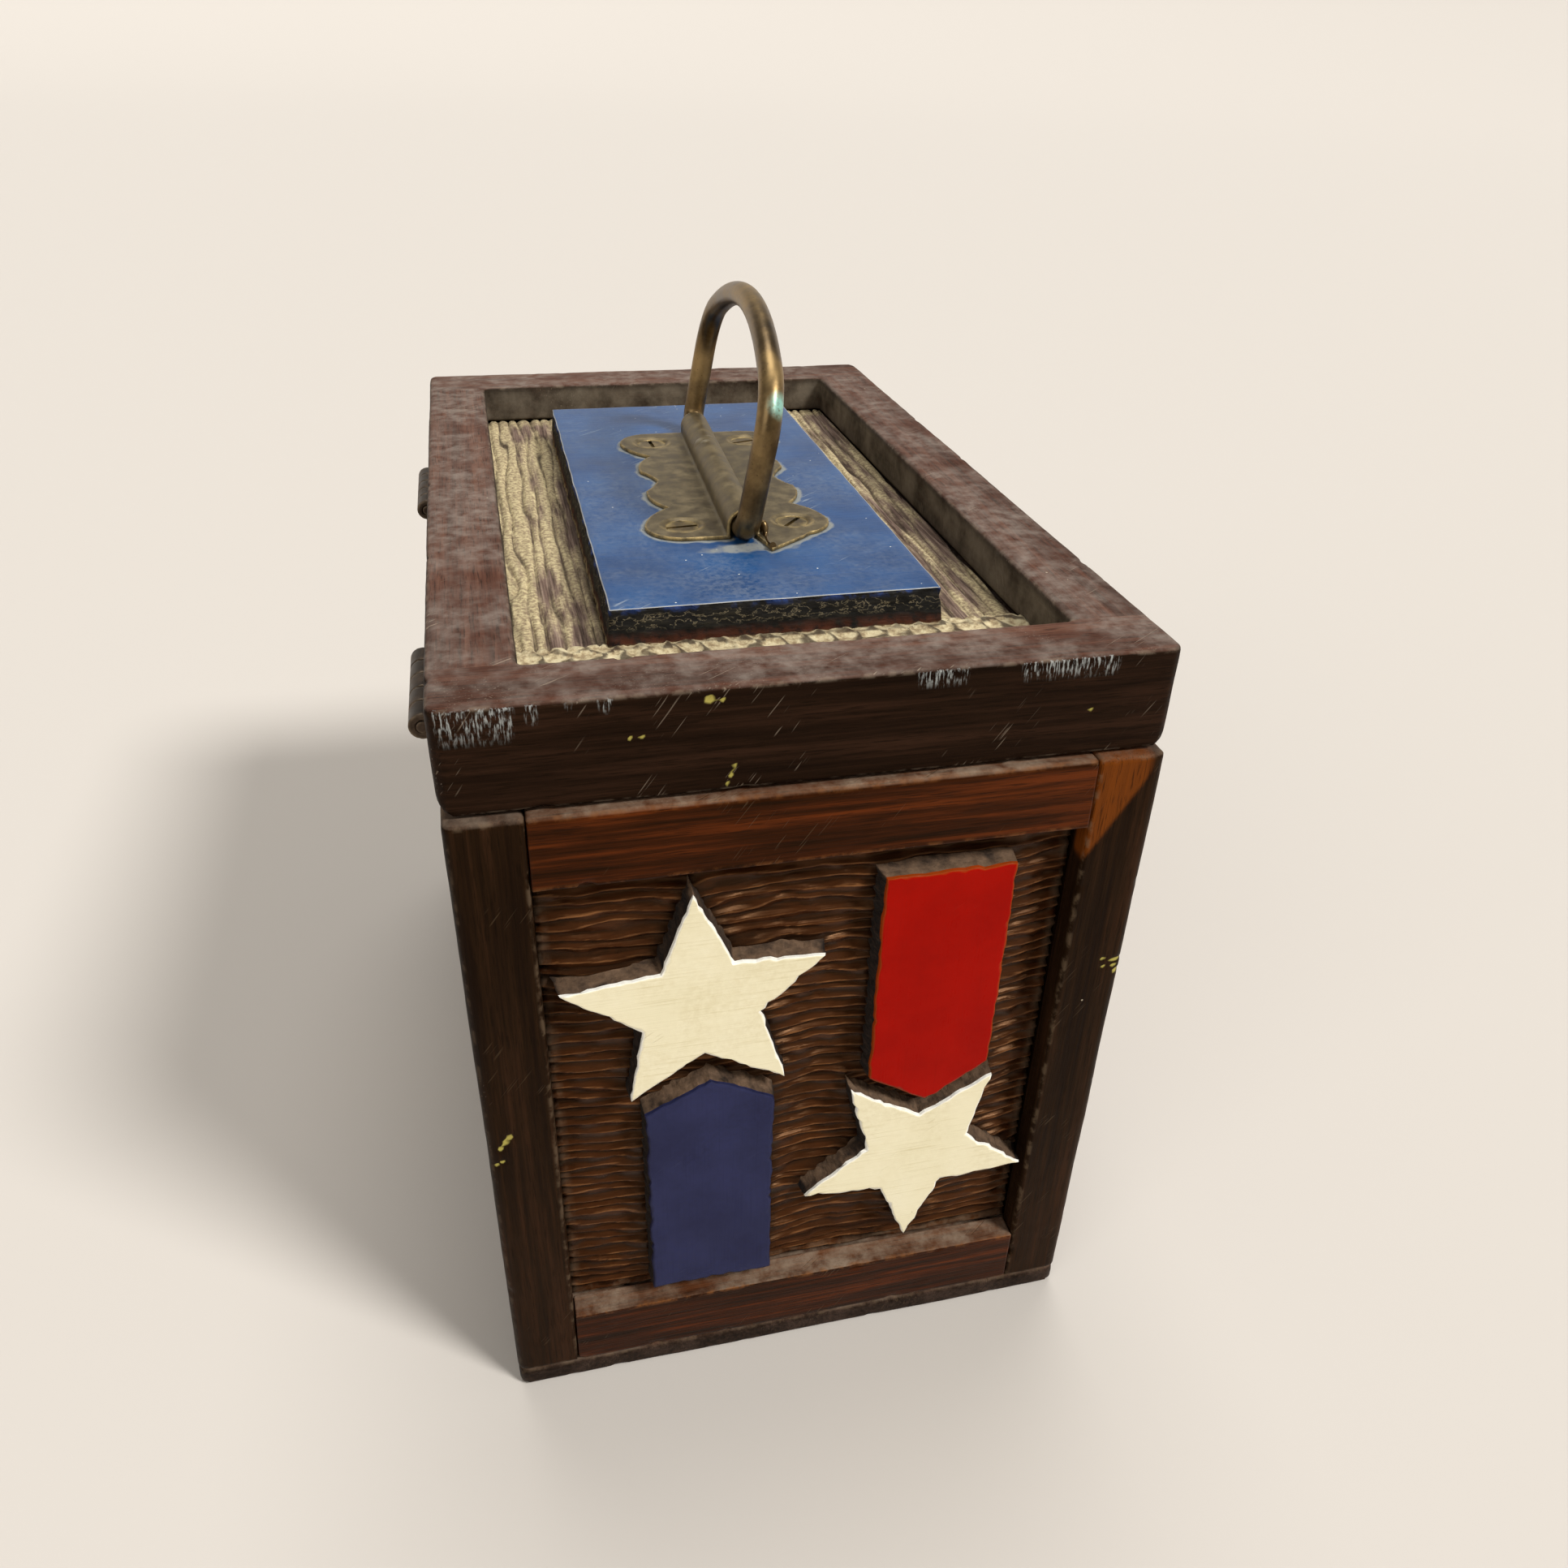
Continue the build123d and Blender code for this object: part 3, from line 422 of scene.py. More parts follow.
finishes = {
    "postWood": stainedWood("stained softwood, planed, grain upright", postLook),
    "railWood": stainedWood("red-brown stained softwood, varnished, grain across", railLook),
    "sideRailWood": stainedWood("red-brown stained softwood, varnished, grain lengthwise", dict(railLook, grainAxis=1)),
    "lidSideWood": stainedWood("weathered stained softwood, grain lengthwise", lidLook),
    "lidRailWood": stainedWood("weathered stained softwood, grain across", lidRailLook),
    "baseWood": stainedWood("dark stained board, sawn", baseLook),
    "gouged": gougedWood("gouged softwood, stained", 0, gougedLook),
    "gougedSide": gougedWood("gouged softwood, stained, side", 1, gougedLook),
    "recess": dustyRecessWood("gouged softwood under dust", recessLook),
    "bareAcross": bareWood("bare softwood, grain across", 0),
    "bareAlong": bareWood("bare softwood, grain lengthwise", 1),
    "carvedSide": carvedSideWood("knife-cut softwood flank"),
    "blockSide": blockSideWood("sawn softwood flank, black stain", blockSideLook),
    "cream": brushedPaint("cream oil paint, brushed", creamLook),
    "red": brushedPaint("red enamel, brushed", redLook),
    "navy": brushedPaint("navy enamel, brushed", navyLook),
    "blue": brushedPaint("blue enamel, brushed and dusty", blueLook),
    "plate": agedMetal("sheet brass, stamped, aged", plateLook),
    "bail": agedMetal("brass rod, bent, dark patina", bailLook),
    "hinge": agedMetal("mild steel, rolled, browned", hingeLook),
    "screw": agedMetal("brass screw, turned, worn", screwLook),
}
print("finishes", len(finishes))


def sums(tree, known, steps):
    # a chain of sums: each row is the result's name, what is done, and with what, which is a number or the
    # name of an input or of an earlier result
    for result, operation, *operands in steps:
        values = [known[operand] if isinstance(operand, str) else operand for operand in operands]
        if operation == "CLOUD":
            spot = addNode(tree, "ShaderNodeCombineXYZ", inputs=dict(enumerate(values)))
            node = addNode(tree, "ShaderNodeTexNoise", inputs={"Vector": spot, "Scale": 1.0, "Detail": 1.5})
        elif operation == "SOFT RANGE":
            node = addNode(tree, "ShaderNodeMapRange", {"interpolation_type": "SMOOTHSTEP"}, dict(enumerate(values)))
        elif operation == "MIX":
            node = addNode(tree, "ShaderNodeMix", inputs=dict(zip((0, 2, 3), values)))
        else:
            node = addNode(tree, "ShaderNodeMath", {"operation": operation}, dict(enumerate(values)))
        known[result] = node.outputs[0]


def linked(name, mesh):
    piece = bpy.data.objects.new(name, mesh)
    scene.collection.objects.link(piece)
    return piece


def settled(piece, body, nodes):
    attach(piece, body)
    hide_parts(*nodes)
    return piece


def flattened(piece):
    # evaluated modifiers become the plain mesh
    graph = bpy.context.evaluated_depsgraph_get()
    mesh = bpy.data.meshes.new_from_object(piece.evaluated_get(graph))
    piece.modifiers.clear()
    old = piece.data
    piece.data = mesh
    bpy.data.meshes.remove(old)
    return piece


def storeValues(mesh, name, values):
    layer = mesh.attributes.get(name) or mesh.attributes.new(name, "FLOAT", "POINT")
    layer.data.foreach_set("value", np.asarray(values, np.float32))


def meshArrays(mesh):
    points = np.empty(len(mesh.vertices) * 3, np.float32)
    mesh.vertices.foreach_get("co", points)
    normals = np.empty(len(mesh.vertices) * 3, np.float32)
    mesh.vertices.foreach_get("normal", normals)
    return points.reshape(-1, 3), normals.reshape(-1, 3)


def fineCopy(nodeNames, pieceName, voxel):
    # the CAD shape of one node, or several closed up together, as one even skin
    work = bmesh.new()
    for nodeName in nodeNames:
        work.from_mesh(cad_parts[nodeName].data)
    bmesh.ops.remove_doubles(work, verts=work.verts, dist=0.002 * mm)
    mesh = bpy.data.meshes.new(pieceName)
    work.to_mesh(mesh)
    work.free()
    piece = linked(pieceName, mesh)
    skin = piece.modifiers.new("skin", "REMESH")
    skin.mode = "VOXEL"
    skin.voxel_size = voxel * mm
    skin.use_smooth_shade = True
    flattened(piece)
    piece.data.materials.clear()
    return piece


wear = {
    "voxel": 0.7, "boardVoxel": 1.1, "wave": 0.14, "waveSize": 24.0, "ripple": 0.05, "rippleSize": 4.0,
    "chipDepth": 0.7, "chipSize": 5.0, "chipReach": 1.5, "chipLimit": 0.42, "nickDepth": 0.35,
}
# yellow paint nicks: member, then spots on its face as x, z, half width and half height in mm
nicks = {
    "post.front_left": (
        (-60.1, 79.6, 0.7, 0.8), (-61.0, 78.3, 0.6, 0.9), (-62.1, 76.8, 0.55, 0.7), (-62.0, 73.1, 0.6, 0.5),
        (-63.2, 72.3, 0.6, 0.5)),
    "post.front_right": (
        (60.1, 103.8, 0.6, 0.5), (62.9, 103.4, 1.7, 0.5), (60.4, 101.8, 0.55, 0.5), (62.8, 101.7, 0.9, 0.5),
        (63.6, 100.2, 0.9, 0.7)),
    "lidFrame": (
        (-20.1, 170.0, 1.0, 0.9), (-18.0, 169.6, 0.6, 0.5), (-33.2, 164.0, 0.5, 0.5), (-31.4, 164.1, 0.5, 0.5),
        (-16.0, 156.9, 0.5, 0.6), (-16.6, 155.2, 0.5, 0.7), (-17.0, 153.4, 0.5, 0.5), (48.4, 161.2, 0.5, 0.5)),
}
# white rubs under the lid's front top corner: from x, to x, how far down they reach
scuffs = (
    (-64.0, -51.0, 6.5), (-50.0, -47.0, 4.0), (-43.5, -42.0, 2.5), (-38.5, -35.5, 3.0), (15.0, 25.0, 3.5),
    (34.0, 53.0, 4.0))
# the strip of sapwood at the top of the right front post, cut off by a slanting line
sapwood = {"foot": 129.0, "slope": 1.7, "from": 51.3, "until": 62.5, "blend": 1.5}


def edgeDistance(points, low, high):
    # mm from each point to the nearest long corner of a straight member
    gaps = np.minimum(points - np.array(low), np.array(high) - points) / mm
    return np.clip(np.sort(gaps, axis=1)[:, 1], 0, None)


def frontMarks(pieceName, points, low, high):
    # yellow nicks, white rubs and sapwood on a member's front face, each as a share from 0 to 1
    x, z = points[:, 0] / mm, points[:, 2] / mm
    depth = points[:, 1] - low[1]
    nick, scuff, sap = (np.zeros(len(points)) for _ in range(3))
    for middleX, middleZ, halfWidth, halfHeight in nicks.get(pieceName, ()):
        away = np.hypot((x - middleX) / halfWidth, (z - middleZ) / halfHeight)
        nick = np.maximum(nick, np.clip(1.4 - away, 0, 1) * (depth < 3 * mm))
    if pieceName == "lidFrame":
        drop = high[2] / mm - z
        for start, end, reach in scuffs:
            share = np.clip(x - start, 0, 1) * np.clip(end - x, 0, 1) * np.clip(1.25 - drop / reach, 0, 1)
            scuff = np.maximum(scuff, share * (drop > 0.3) * (depth < 2 * mm))
    if pieceName == "post.front_right":
        line = sapwood["foot"] + sapwood["slope"] * (x - sapwood["from"])
        above = np.clip((z - line) / sapwood["blend"], 0, 1)
        sap = above * np.clip((sapwood["until"] - x) / sapwood["blend"], 0, 1) * (depth < 4 * mm)
    return {"nick": nick, "scuff": scuff, "sap": sap}


def wornMember(nodeNames, pieceName, body, finishNames, inside=None, voxel=wear["voxel"]):
    # one wood member, or several that show as one: slightly wavy faces, chipped corners, marks
    piece = fineCopy(nodeNames, pieceName, voxel)
    mesh = piece.data
    boxes = [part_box(name) for name in nodeNames]
    low = [min(box[0][axis] for box in boxes) for axis in range(3)]
    high = [max(box[1][axis] for box in boxes) for axis in range(3)]
    points, normals = meshArrays(mesh)
    edge = edgeDistance(points, low, high)
    inner = np.zeros(len(points))
    if inside is not None:
        # a frame round an opening has corners along the opening too
        left, right, front, back = inside
        flat = points[:, :2] / mm
        within = np.maximum(
            np.maximum(left - flat[:, 0], flat[:, 0] - right), np.maximum(front - flat[:, 1], flat[:, 1] - back))
        topGap = high[2] / mm - points[:, 2] / mm
        edge = np.minimum(edge, np.maximum(np.abs(within), topGap))
        inner = (within < 0.6) * np.clip(topGap / 2, 0, 1)
    marks = frontMarks(pieceName, points, low, high)
    seed = Vector((sum(map(ord, pieceName)) % 97, 3.7, 1.1))
    pushes = np.empty(len(points))
    for index, (point, gap) in enumerate(zip(points.tolist(), edge.tolist())):
        spot = Vector(point)
        push = wear["wave"] * noise.noise(spot / (wear["waveSize"] * mm) + seed)
        push += wear["ripple"] * noise.noise(spot / (wear["rippleSize"] * mm) + seed)
        if gap < wear["chipReach"]:
            chance = noise.noise(spot / (wear["chipSize"] * mm) - seed) - wear["chipLimit"]
            if chance > 0:
                push -= wear["chipDepth"] * min(chance * 4, 1) * (1 - gap / wear["chipReach"])
        pushes[index] = push
    pushes -= wear["nickDepth"] * marks["nick"]
    points += normals * pushes[:, None].astype(np.float32) * mm
    points[:, 2] = np.maximum(points[:, 2], 0)  # nothing below the floor
    mesh.vertices.foreach_set("co", points.ravel())
    mesh.update()
    for label, amount in {"edge": edge, "up": normals[:, 2], "inner": inner, **marks}.items():
        storeValues(mesh, label, amount)
    for name in finishNames:
        mesh.materials.append(finishes[name])
    if len(finishNames) > 1:
        # the second finish runs between the front and back pieces of the frame
        for face in mesh.polygons:
            between = inside[2] < face.center.y / mm < inside[3]
            face.material_index = 1 if between else 0
    return settled(piece, body, nodeNames)


for end in ("front", "back"):
    for side in ("left", "right"):
        name = end + "_" + side
        wornMember(["post_" + name], "post." + name, "case", ["postWood"])
    wornMember(["top_rail_" + end], "topRail." + end, "case", ["railWood"])
    wornMember(["bottom_rail_" + end], "bottomRail." + end, "case", ["railWood"])
for side in ("left", "right"):
    wornMember(["top_rail_" + side], "topRail." + side, "case", ["sideRailWood"])
    wornMember(["bottom_rail_" + side], "bottomRail." + side, "case", ["sideRailWood"])
lidInside = (
    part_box("lid_side_left")[1].x / mm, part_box("lid_side_right")[0].x / mm,
    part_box("lid_rail_front")[1].y / mm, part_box("lid_rail_back")[0].y / mm)
wornMember(["lid_rail_front", "lid_rail_back", "lid_side_left", "lid_side_right", "lid_dowels"], "lidFrame", "lid",
           ["lidRailWood", "lidSideWood"], lidInside)
wornMember(["base_board"], "baseBoard", "case", ["baseWood"], voxel=wear["boardVoxel"])
print("wood members")


gougeSizes = (
    "Length", "Width", "Cell Along", "Cell Across", "Pitch", "Stroke", "Depth", "Wander", "Rounded", "Scale Until",
    "Seed")
gougeSums = (
    ("columns", "DIVIDE", "Length", "Cell Along"), ("countX", "ADD", "columns", 1.0),
    ("lines", "DIVIDE", "Width", "Cell Across"), ("countY", "ADD", "lines", 1.0),
    # rows wander, pinch and swell
    ("bendAlong", "DIVIDE", "along", "Stroke"), ("bendPitch", "MULTIPLY", "Pitch", 1.7),
    ("bendAcross", "DIVIDE", "across", "bendPitch"), ("bend", "CLOUD", "bendAlong", "bendAcross", "Seed"),
    ("bendEven", "SUBTRACT", "bend", 0.5), ("wandering", "MULTIPLY", "bendEven", "Wander"),
    ("bentAcross", "ADD", "across", "wandering"), ("rows", "DIVIDE", "bentAcross", "Pitch"),
    ("row", "FLOOR", "rows"), ("rowPart", "SUBTRACT", "rows", "row"),
    ("rowSide", "MULTIPLY_ADD", "rowPart", 2.0, -1.0), ("rowEdge", "ABSOLUTE", "rowSide"),
    ("bowl", "POWER", "rowEdge", 1.6),
    # each row's cuts start and stop softly
    ("cutStroke", "MULTIPLY", "Stroke", 0.45), ("cutAlong", "DIVIDE", "along", "cutStroke"),
    ("cutRow", "MULTIPLY", "row", 7.31), ("cutSeed", "ADD", "Seed", 4.0),
    ("cutCloud", "CLOUD", "cutAlong", "cutRow", "cutSeed"), ("lot", "SOFT RANGE", "cutCloud", 0.3, 0.62, 0.25, 1.0),
    # hollow cuts with sharp ridges, or where Rounded is 1, broad ridges with narrow cuts
    ("hollow", "SUBTRACT", "bowl", 1.0), ("narrow", "POWER", "bowl", 2.0), ("groove", "MULTIPLY", "narrow", -1.0),
    ("profile", "MIX", "Rounded", "hollow", "groove"), ("deep", "MULTIPLY", "Depth", "lot"),
    ("scoop", "MULTIPLY", "deep", "profile"),
    # fish scales 4.2 mm apart and 5 mm wide, each row shifted half a scale, none quite in its place
    ("strayAlong", "DIVIDE", "along", 6 * mm), ("strayAcross", "DIVIDE", "across", 6 * mm),
    ("strayCloud", "CLOUD", "strayAlong", "strayAcross", 8.0), ("stray", "MULTIPLY_ADD", "strayCloud", 1.5, -0.75),
    ("scaleAlong", "DIVIDE", "along", 4.2 * mm), ("scaleRows", "ADD", "scaleAlong", "stray"),
    ("scaleRow", "FLOOR", "scaleRows"), ("scaleAcross", "DIVIDE", "across", 5.0 * mm),
    ("scaleShift", "MULTIPLY_ADD", "scaleRow", 0.5, "scaleAcross"), ("scaleColumns", "ADD", "scaleShift", "stray"),
    ("columnPart", "FRACT", "scaleColumns"), ("columnSide", "SUBTRACT", "columnPart", 0.5),
    ("columnEdge", "MULTIPLY", "columnSide", 2.0), ("sideReach", "POWER", "columnEdge", 2.0),
    ("scalePart", "SUBTRACT", "scaleRows", "scaleRow"), ("scaleLeft", "SUBTRACT", 1.0, "scalePart"),
    ("tipReach", "POWER", "scaleLeft", 2.0), ("reach", "ADD", "sideReach", "tipReach"),
    ("scaleBowl", "MINIMUM", "reach", 1.0), ("scaleHollow", "SUBTRACT", "scaleBowl", 1.0),
    ("scaleDepth", "MULTIPLY", "Depth", 0.55), ("scale", "MULTIPLY", "scaleDepth", "scaleHollow"),
    ("inScales", "LESS_THAN", "along", "Scale Until"),
    ("height", "MIX", "inScales", "scoop", "scale"), ("crest", "MIX", "inScales", "bowl", "scaleBowl"),
)


def gougeTree():
    # a flat grid, cut into rows of lens-shaped scoops along X; up to Scale Until it has fish scales instead
    tree = bpy.data.node_groups.new("gougedGround", "GeometryNodeTree")
    for label in gougeSizes:
        tree.interface.new_socket(label, in_out="INPUT", socket_type="NodeSocketFloat")
    tree.interface.new_socket("Finish", in_out="INPUT", socket_type="NodeSocketMaterial")
    tree.interface.new_socket("Ground", in_out="OUTPUT", socket_type="NodeSocketGeometry")
    given = addNode(tree, "NodeGroupInput").outputs
    place = addNode(tree, "ShaderNodeSeparateXYZ", inputs={0: addNode(tree, "GeometryNodeInputPosition")}).outputs
    known = {label: given[label] for label in gougeSizes}
    known.update(along=place["X"], across=place["Y"])
    sums(tree, known, gougeSums)
    grid = addNode(tree, "GeometryNodeMeshGrid", inputs={
        "Size X": given["Length"], "Size Y": given["Width"],
        "Vertices X": known["countX"], "Vertices Y": known["countY"]})
    lift = addNode(tree, "ShaderNodeCombineXYZ", inputs={2: known["height"]})
    cut = addNode(tree, "GeometryNodeSetPosition", inputs={"Geometry": grid.outputs["Mesh"], "Offset": lift})
    marked = addNode(
        tree, "GeometryNodeStoreNamedAttribute", {"data_type": "FLOAT", "domain": "POINT"},
        {"Geometry": cut, "Name": "ridge", "Value": known["crest"]})
    real = addNode(tree, "GeometryNodeRealizeInstances", inputs={"Geometry": marked})
    faced = addNode(tree, "GeometryNodeSetMaterial", inputs={"Geometry": real, "Material": given["Finish"]})
    addNode(tree, "NodeGroupOutput", inputs={"Ground": faced})
    return tree


gouges = gougeTree()


slabThickness = 5.0


def gougedSlab(name, values, finish, backFinish):
    # the rule's sheet made into a closed slab, top near z = 0; a known fault is that the back keeps the
    # ground's finish, because its new face has no normal yet when finishes are given out
    piece = linked(name, bpy.data.meshes.new(name))
    rule = piece.modifiers.new("gouges", "NODES")
    rule.node_group = gouges
    for item in gouges.interface.items_tree:
        if item.in_out == "INPUT":
            rule[item.identifier] = finishes[finish] if item.name == "Finish" else values[item.name]
    flattened(piece)
    work = bmesh.new()
    work.from_mesh(piece.data)
    rim = [edge for edge in work.edges if edge.is_boundary]
    grown = bmesh.ops.extrude_edge_only(work, edges=rim)["geom"]
    for element in grown:
        if isinstance(element, bmesh.types.BMVert):
            element.co.z = -slabThickness * mm
    lower = [element for element in grown if isinstance(element, bmesh.types.BMEdge)]
    bmesh.ops.edgeloop_fill(work, edges=lower)
    bmesh.ops.recalc_face_normals(work, faces=work.faces)
    for face in work.faces:
        face.smooth = abs(face.normal.z) > 0.3
        face.material_index = 1 if face.normal.z < -0.5 else 0
    work.to_mesh(piece.data)
    work.free()
    piece.data.materials.clear()
    piece.data.materials.append(finishes[finish])
    piece.data.materials.append(finishes[backFinish])
    return piece


motifs = {
    "starTip": 26.2, "starNotch": 11.8, "starHigh": 105.6, "starLow": 54.9, "starTurn": 2.6,
    "barWidth": 25.8, "redTop": 130.5, "redShoulder": 80.0, "redPoint": 71.3,
    "blueBottom": 26.0, "blueShoulder": 79.3, "bluePoint": 86.0,
    "tipStretch": (1.0, 1.03, 0.98, 1.03, 0.97), "lowStarTurn": -90.9,
    "height": 5.8, "flare": 0.8, "lip": 0.5, "sunk": 1.2, "step": 1.3, "waver": 0.42, "nick": 0.42,
    "swell": 1.9, "swellReach": 8.0, "endColumns": ((-22.4, -20.7), (24.2, 25.2)),
    "sideColumns": ((-56.0, -56.0), (0.0, 0.0), (56.0, 56.0)),
}


def starOutline(middle, height, turn):
    corners = []
    for step in range(10):
        # hand-cut tips differ a little
        reach = motifs["starTip"] * motifs["tipStretch"][step // 2] if step % 2 == 0 else motifs["starNotch"]
        angle = math.radians(turn + 36 * step)
        corners.append((middle + reach * math.cos(angle), height + reach * math.sin(angle)))
    return corners


def barOutline(middle, flatEnd, shoulder, point):
    half = motifs["barWidth"] / 2
    corners = [
        (middle - half, flatEnd), (middle + half, flatEnd), (middle + half, shoulder), (middle, point),
        (middle - half, shoulder)]
    return corners if point > flatEnd else corners[::-1]


def motifShapes(columns):
    # a star over a navy bar, then a red bar over a star, by turns
    shapes = []
    for index, (star, bar) in enumerate(columns):
        if index % 2 == 0:
            star = starOutline(star, motifs["starHigh"], 90 + motifs["starTurn"])
            bar = barOutline(bar, motifs["blueBottom"], motifs["blueShoulder"], motifs["bluePoint"])
        else:
            star = starOutline(star, motifs["starLow"], motifs["lowStarTurn"])
            bar = barOutline(bar, motifs["redTop"], motifs["redShoulder"], motifs["redPoint"])
        shapes += [(star, "cream"), (bar, "red" if index % 2 else "navy")]
    return shapes


def grownCorners(corners, distance):
    # the outline moved outwards, long points held back
    grown = []
    count = len(corners)
    for index in range(count):
        here = Vector(corners[index])
        before = (here - Vector(corners[index - 1])).normalized()
        after = (Vector(corners[(index + 1) % count]) - here).normalized()
        outward = Vector((before.y + after.y, -before.x - after.x))
        half = max(outward.length / 2, 0.7)
        grown.append(here + outward.normalized() * distance / half)
    return grown


def reliefShell(work, corners, paintIndex, seed):
    # one raised shape: painted top with a soft lip, torn flanks that lean out, closed below
    rimLayer = work.verts.layers.float.get("rim") or work.verts.layers.float.new("rim")
    count = len(corners)
    steps = []
    for index in range(count):
        length = (Vector(corners[(index + 1) % count]) - Vector(corners[index])).length
        pieces = max(2, round(length / motifs["step"]))
        steps += [(index, part / pieces) for part in range(pieces)]
    high = motifs["height"]
    # each ring's growth, height, roughness of its line, and share of the thick paint rim, whose colour is partly a
    # painted highlight
    rings = (
        (-motifs["lip"], high, 0.6, 0.0), (0.0, high - 0.12, 1.0, 1.0), (0.12, high - 0.7, 1.2, 1.0),
        (motifs["flare"] * 0.35, high * 0.62, 2.0, 0.0), (motifs["flare"] * 0.7, high * 0.3, 2.6, 0.0),
        (motifs["flare"], 0.0, 3.0, 0.0), (motifs["flare"] + 0.3, -motifs["sunk"], 0.0, 0.0),
    )
    made = []
    for level, (grow, z, roughness, rim) in enumerate(rings):
        moved = grownCorners(corners, grow)
        ring = []
        for index, part in steps:
            spot = moved[index].lerp(moved[(index + 1) % count], part)
            flat = Vector((spot.x * 0.35, spot.y * 0.35, seed))
            coarse = Vector((spot.x * 0.9, spot.y * 0.9, z * 0.5 + seed))
            edge = (moved[(index + 1) % count] - moved[index]).normalized()
            outward = Vector((edge.y, -edge.x))
            push = motifs["waver"] * noise.noise(flat) * (1.0 if level < 3 else 0.5)
            push += motifs["waver"] * 0.5 * noise.noise(coarse) * roughness
            if level < 3 and noise.noise(Vector((spot.x * 0.55, spot.y * 0.55, seed + 9))) > 0.38:
                push -= motifs["nick"]
            vert = work.verts.new(((spot + outward * push) * mm).to_3d() + Vector((0, 0, z * mm)))
            vert[rimLayer] = rim
            ring.append(vert)
        made.append(ring)
    size = len(steps)
    for level in range(len(made) - 1):
        for index in range(size):
            after = (index + 1) % size
            face = work.faces.new((
                made[level][index], made[level + 1][index], made[level + 1][after], made[level][after]))
            face.material_index = paintIndex if level < 2 else 2
            face.smooth = level < 1
    top = work.faces.new(made[0])
    top.material_index = paintIndex
    work.faces.new(made[-1][::-1]).material_index = 2


def outlineGap(points, shapes):
    # mm from each ground point to the nearest raised shape
    nearest = np.full(len(points), 1e3)
    for corners, _ in shapes:
        grown = np.array([tuple(c) for c in grownCorners(corners, motifs["flare"])])
        for start, end in zip(grown, np.roll(grown, -1, axis=0)):
            run = end - start
            share = np.clip(((points - start) @ run) / (run @ run), 0, 1)
            away = np.linalg.norm(points - start - share[:, None] * run, axis=1)
            nearest = np.minimum(nearest, away)
    return nearest


panelGouges = {
    "Cell Along": 1.1 * mm, "Cell Across": 0.29 * mm, "Pitch": 2.5 * mm, "Stroke": 15.0 * mm, "Depth": 1.15 * mm,
    "Wander": 4.0 * mm, "Rounded": 0.0, "Scale Until": -1.0,
}
tongue = 2.8  # mm of a panel's top and bottom that sit in the rails


def carvedPanel(name, node, columns, across, groundFinish, backFinish, turnAngle, groundAt):
    # a gouged ground with its motifs, made lying flat and then stood up on the case
    low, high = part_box(node)
    ends = (low.z / mm + tongue, high.z / mm - tongue)
    middleZ = sum(ends) / 2
    values = dict(
        panelGouges, Length=2 * across * mm, Width=(ends[1] - ends[0]) * mm, Seed=float(sum(map(ord, name)) % 13))
    piece = gougedSlab(name, values, groundFinish, backFinish)
    mesh = piece.data
    mesh.transform(Matrix.Translation((0, middleZ * mm, 0)))
    shapes = motifShapes(columns)
    points, _ = meshArrays(mesh)
    flat = points[:, :2] / mm
    gap = outlineGap(flat, shapes)
    frameGap = np.minimum(across - np.abs(flat[:, 0]), np.minimum(flat[:, 1] - ends[0], ends[1] - flat[:, 1]))
    # the distance to the motifs also sets the painted shade round their roots
    storeValues(mesh, "crevice", gap)
    storeValues(mesh, "margin", frameGap)
    # the cut ground rises a little towards every motif
    swell = motifs["swell"] * np.exp(-gap / motifs["swellReach"]) * np.clip(frameGap / 7, 0, 1)
    points[:, 2] += swell * (points[:, 2] > -2 * mm) * mm
    mesh.vertices.foreach_set("co", points.ravel())
    storeValues(mesh, "up", np.zeros(len(points)))
    order = ["cream", "red", "navy"]
    for finish in ["carvedSide"] + order:
        mesh.materials.append(finishes[finish])
    work = bmesh.new()
    work.from_mesh(mesh)
    for index, (corners, paint) in enumerate(shapes):
        reliefShell(work, corners, 3 + order.index(paint), index * 5.3 + len(name))
    work.normal_update()
    upLayer = work.verts.layers.float["up"]
    for vert in work.verts:
        vert[upLayer] = vert.normal.y
    work.to_mesh(mesh)
    work.free()
    # X along the panel, Y up the panel, Z outwards become the panel's place on the case
    moved = Matrix.Translation((0, -groundAt * mm, 0)) @ Matrix.Rotation(math.radians(90), 4, "X")
    mesh.transform(Matrix.Rotation(math.radians(turnAngle), 4, "Z") @ moved)
    mesh.update()
    return settled(piece, "case", [node])


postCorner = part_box("post_front_left")[1] / mm
groundDepth = -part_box("panel_front")[0].y / mm - motifs["height"]
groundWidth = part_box("panel_right")[1].x / mm - motifs["height"]
for side, turn in (("front", 0), ("back", 180)):
    carvedPanel("carvedPanel." + side, "panel_" + side, motifs["endColumns"], -postCorner.x, "gouged", "bareAcross",
                turn, groundDepth)
for side, turn in (("right", 90), ("left", -90)):
    carvedPanel("carvedPanel." + side, "panel_" + side, motifs["sideColumns"], -postCorner.y, "gougedSide",
                "bareAlong", turn, groundWidth)
print("carved panels")


# the raised block on the lid, the dust before it, and the crust and screw seats under the handle's plate
block = {
    "width": 64.4, "front": -70.0, "back": 68.0, "height": 8.5, "lean": 0.5, "step": 0.9, "lip": 0.35,
    "crustWidth": 1.6, "drift": 1.7, "driftReach": 26, "seatRadius": 4.6, "seatDepth": 1.1,
    "smearMiddle": (0.0, -43.2), "smearHalf": (11, 3.4),
}
recessGouges = {
    "Cell Along": 0.74 * mm, "Cell Across": 0.34 * mm, "Pitch": 2.9 * mm, "Stroke": 40.0 * mm, "Depth": 1.0 * mm,
    "Wander": 5.5 * mm, "Rounded": 1.0, "Seed": 3.0,
}
handle = {"middle": (0.9, -0.2), "turn": -2.0, "screwX": 12.0, "screwY": 30.2}
plateThickness = 0.4
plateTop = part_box("lid_panel")[1].z / mm + plateThickness
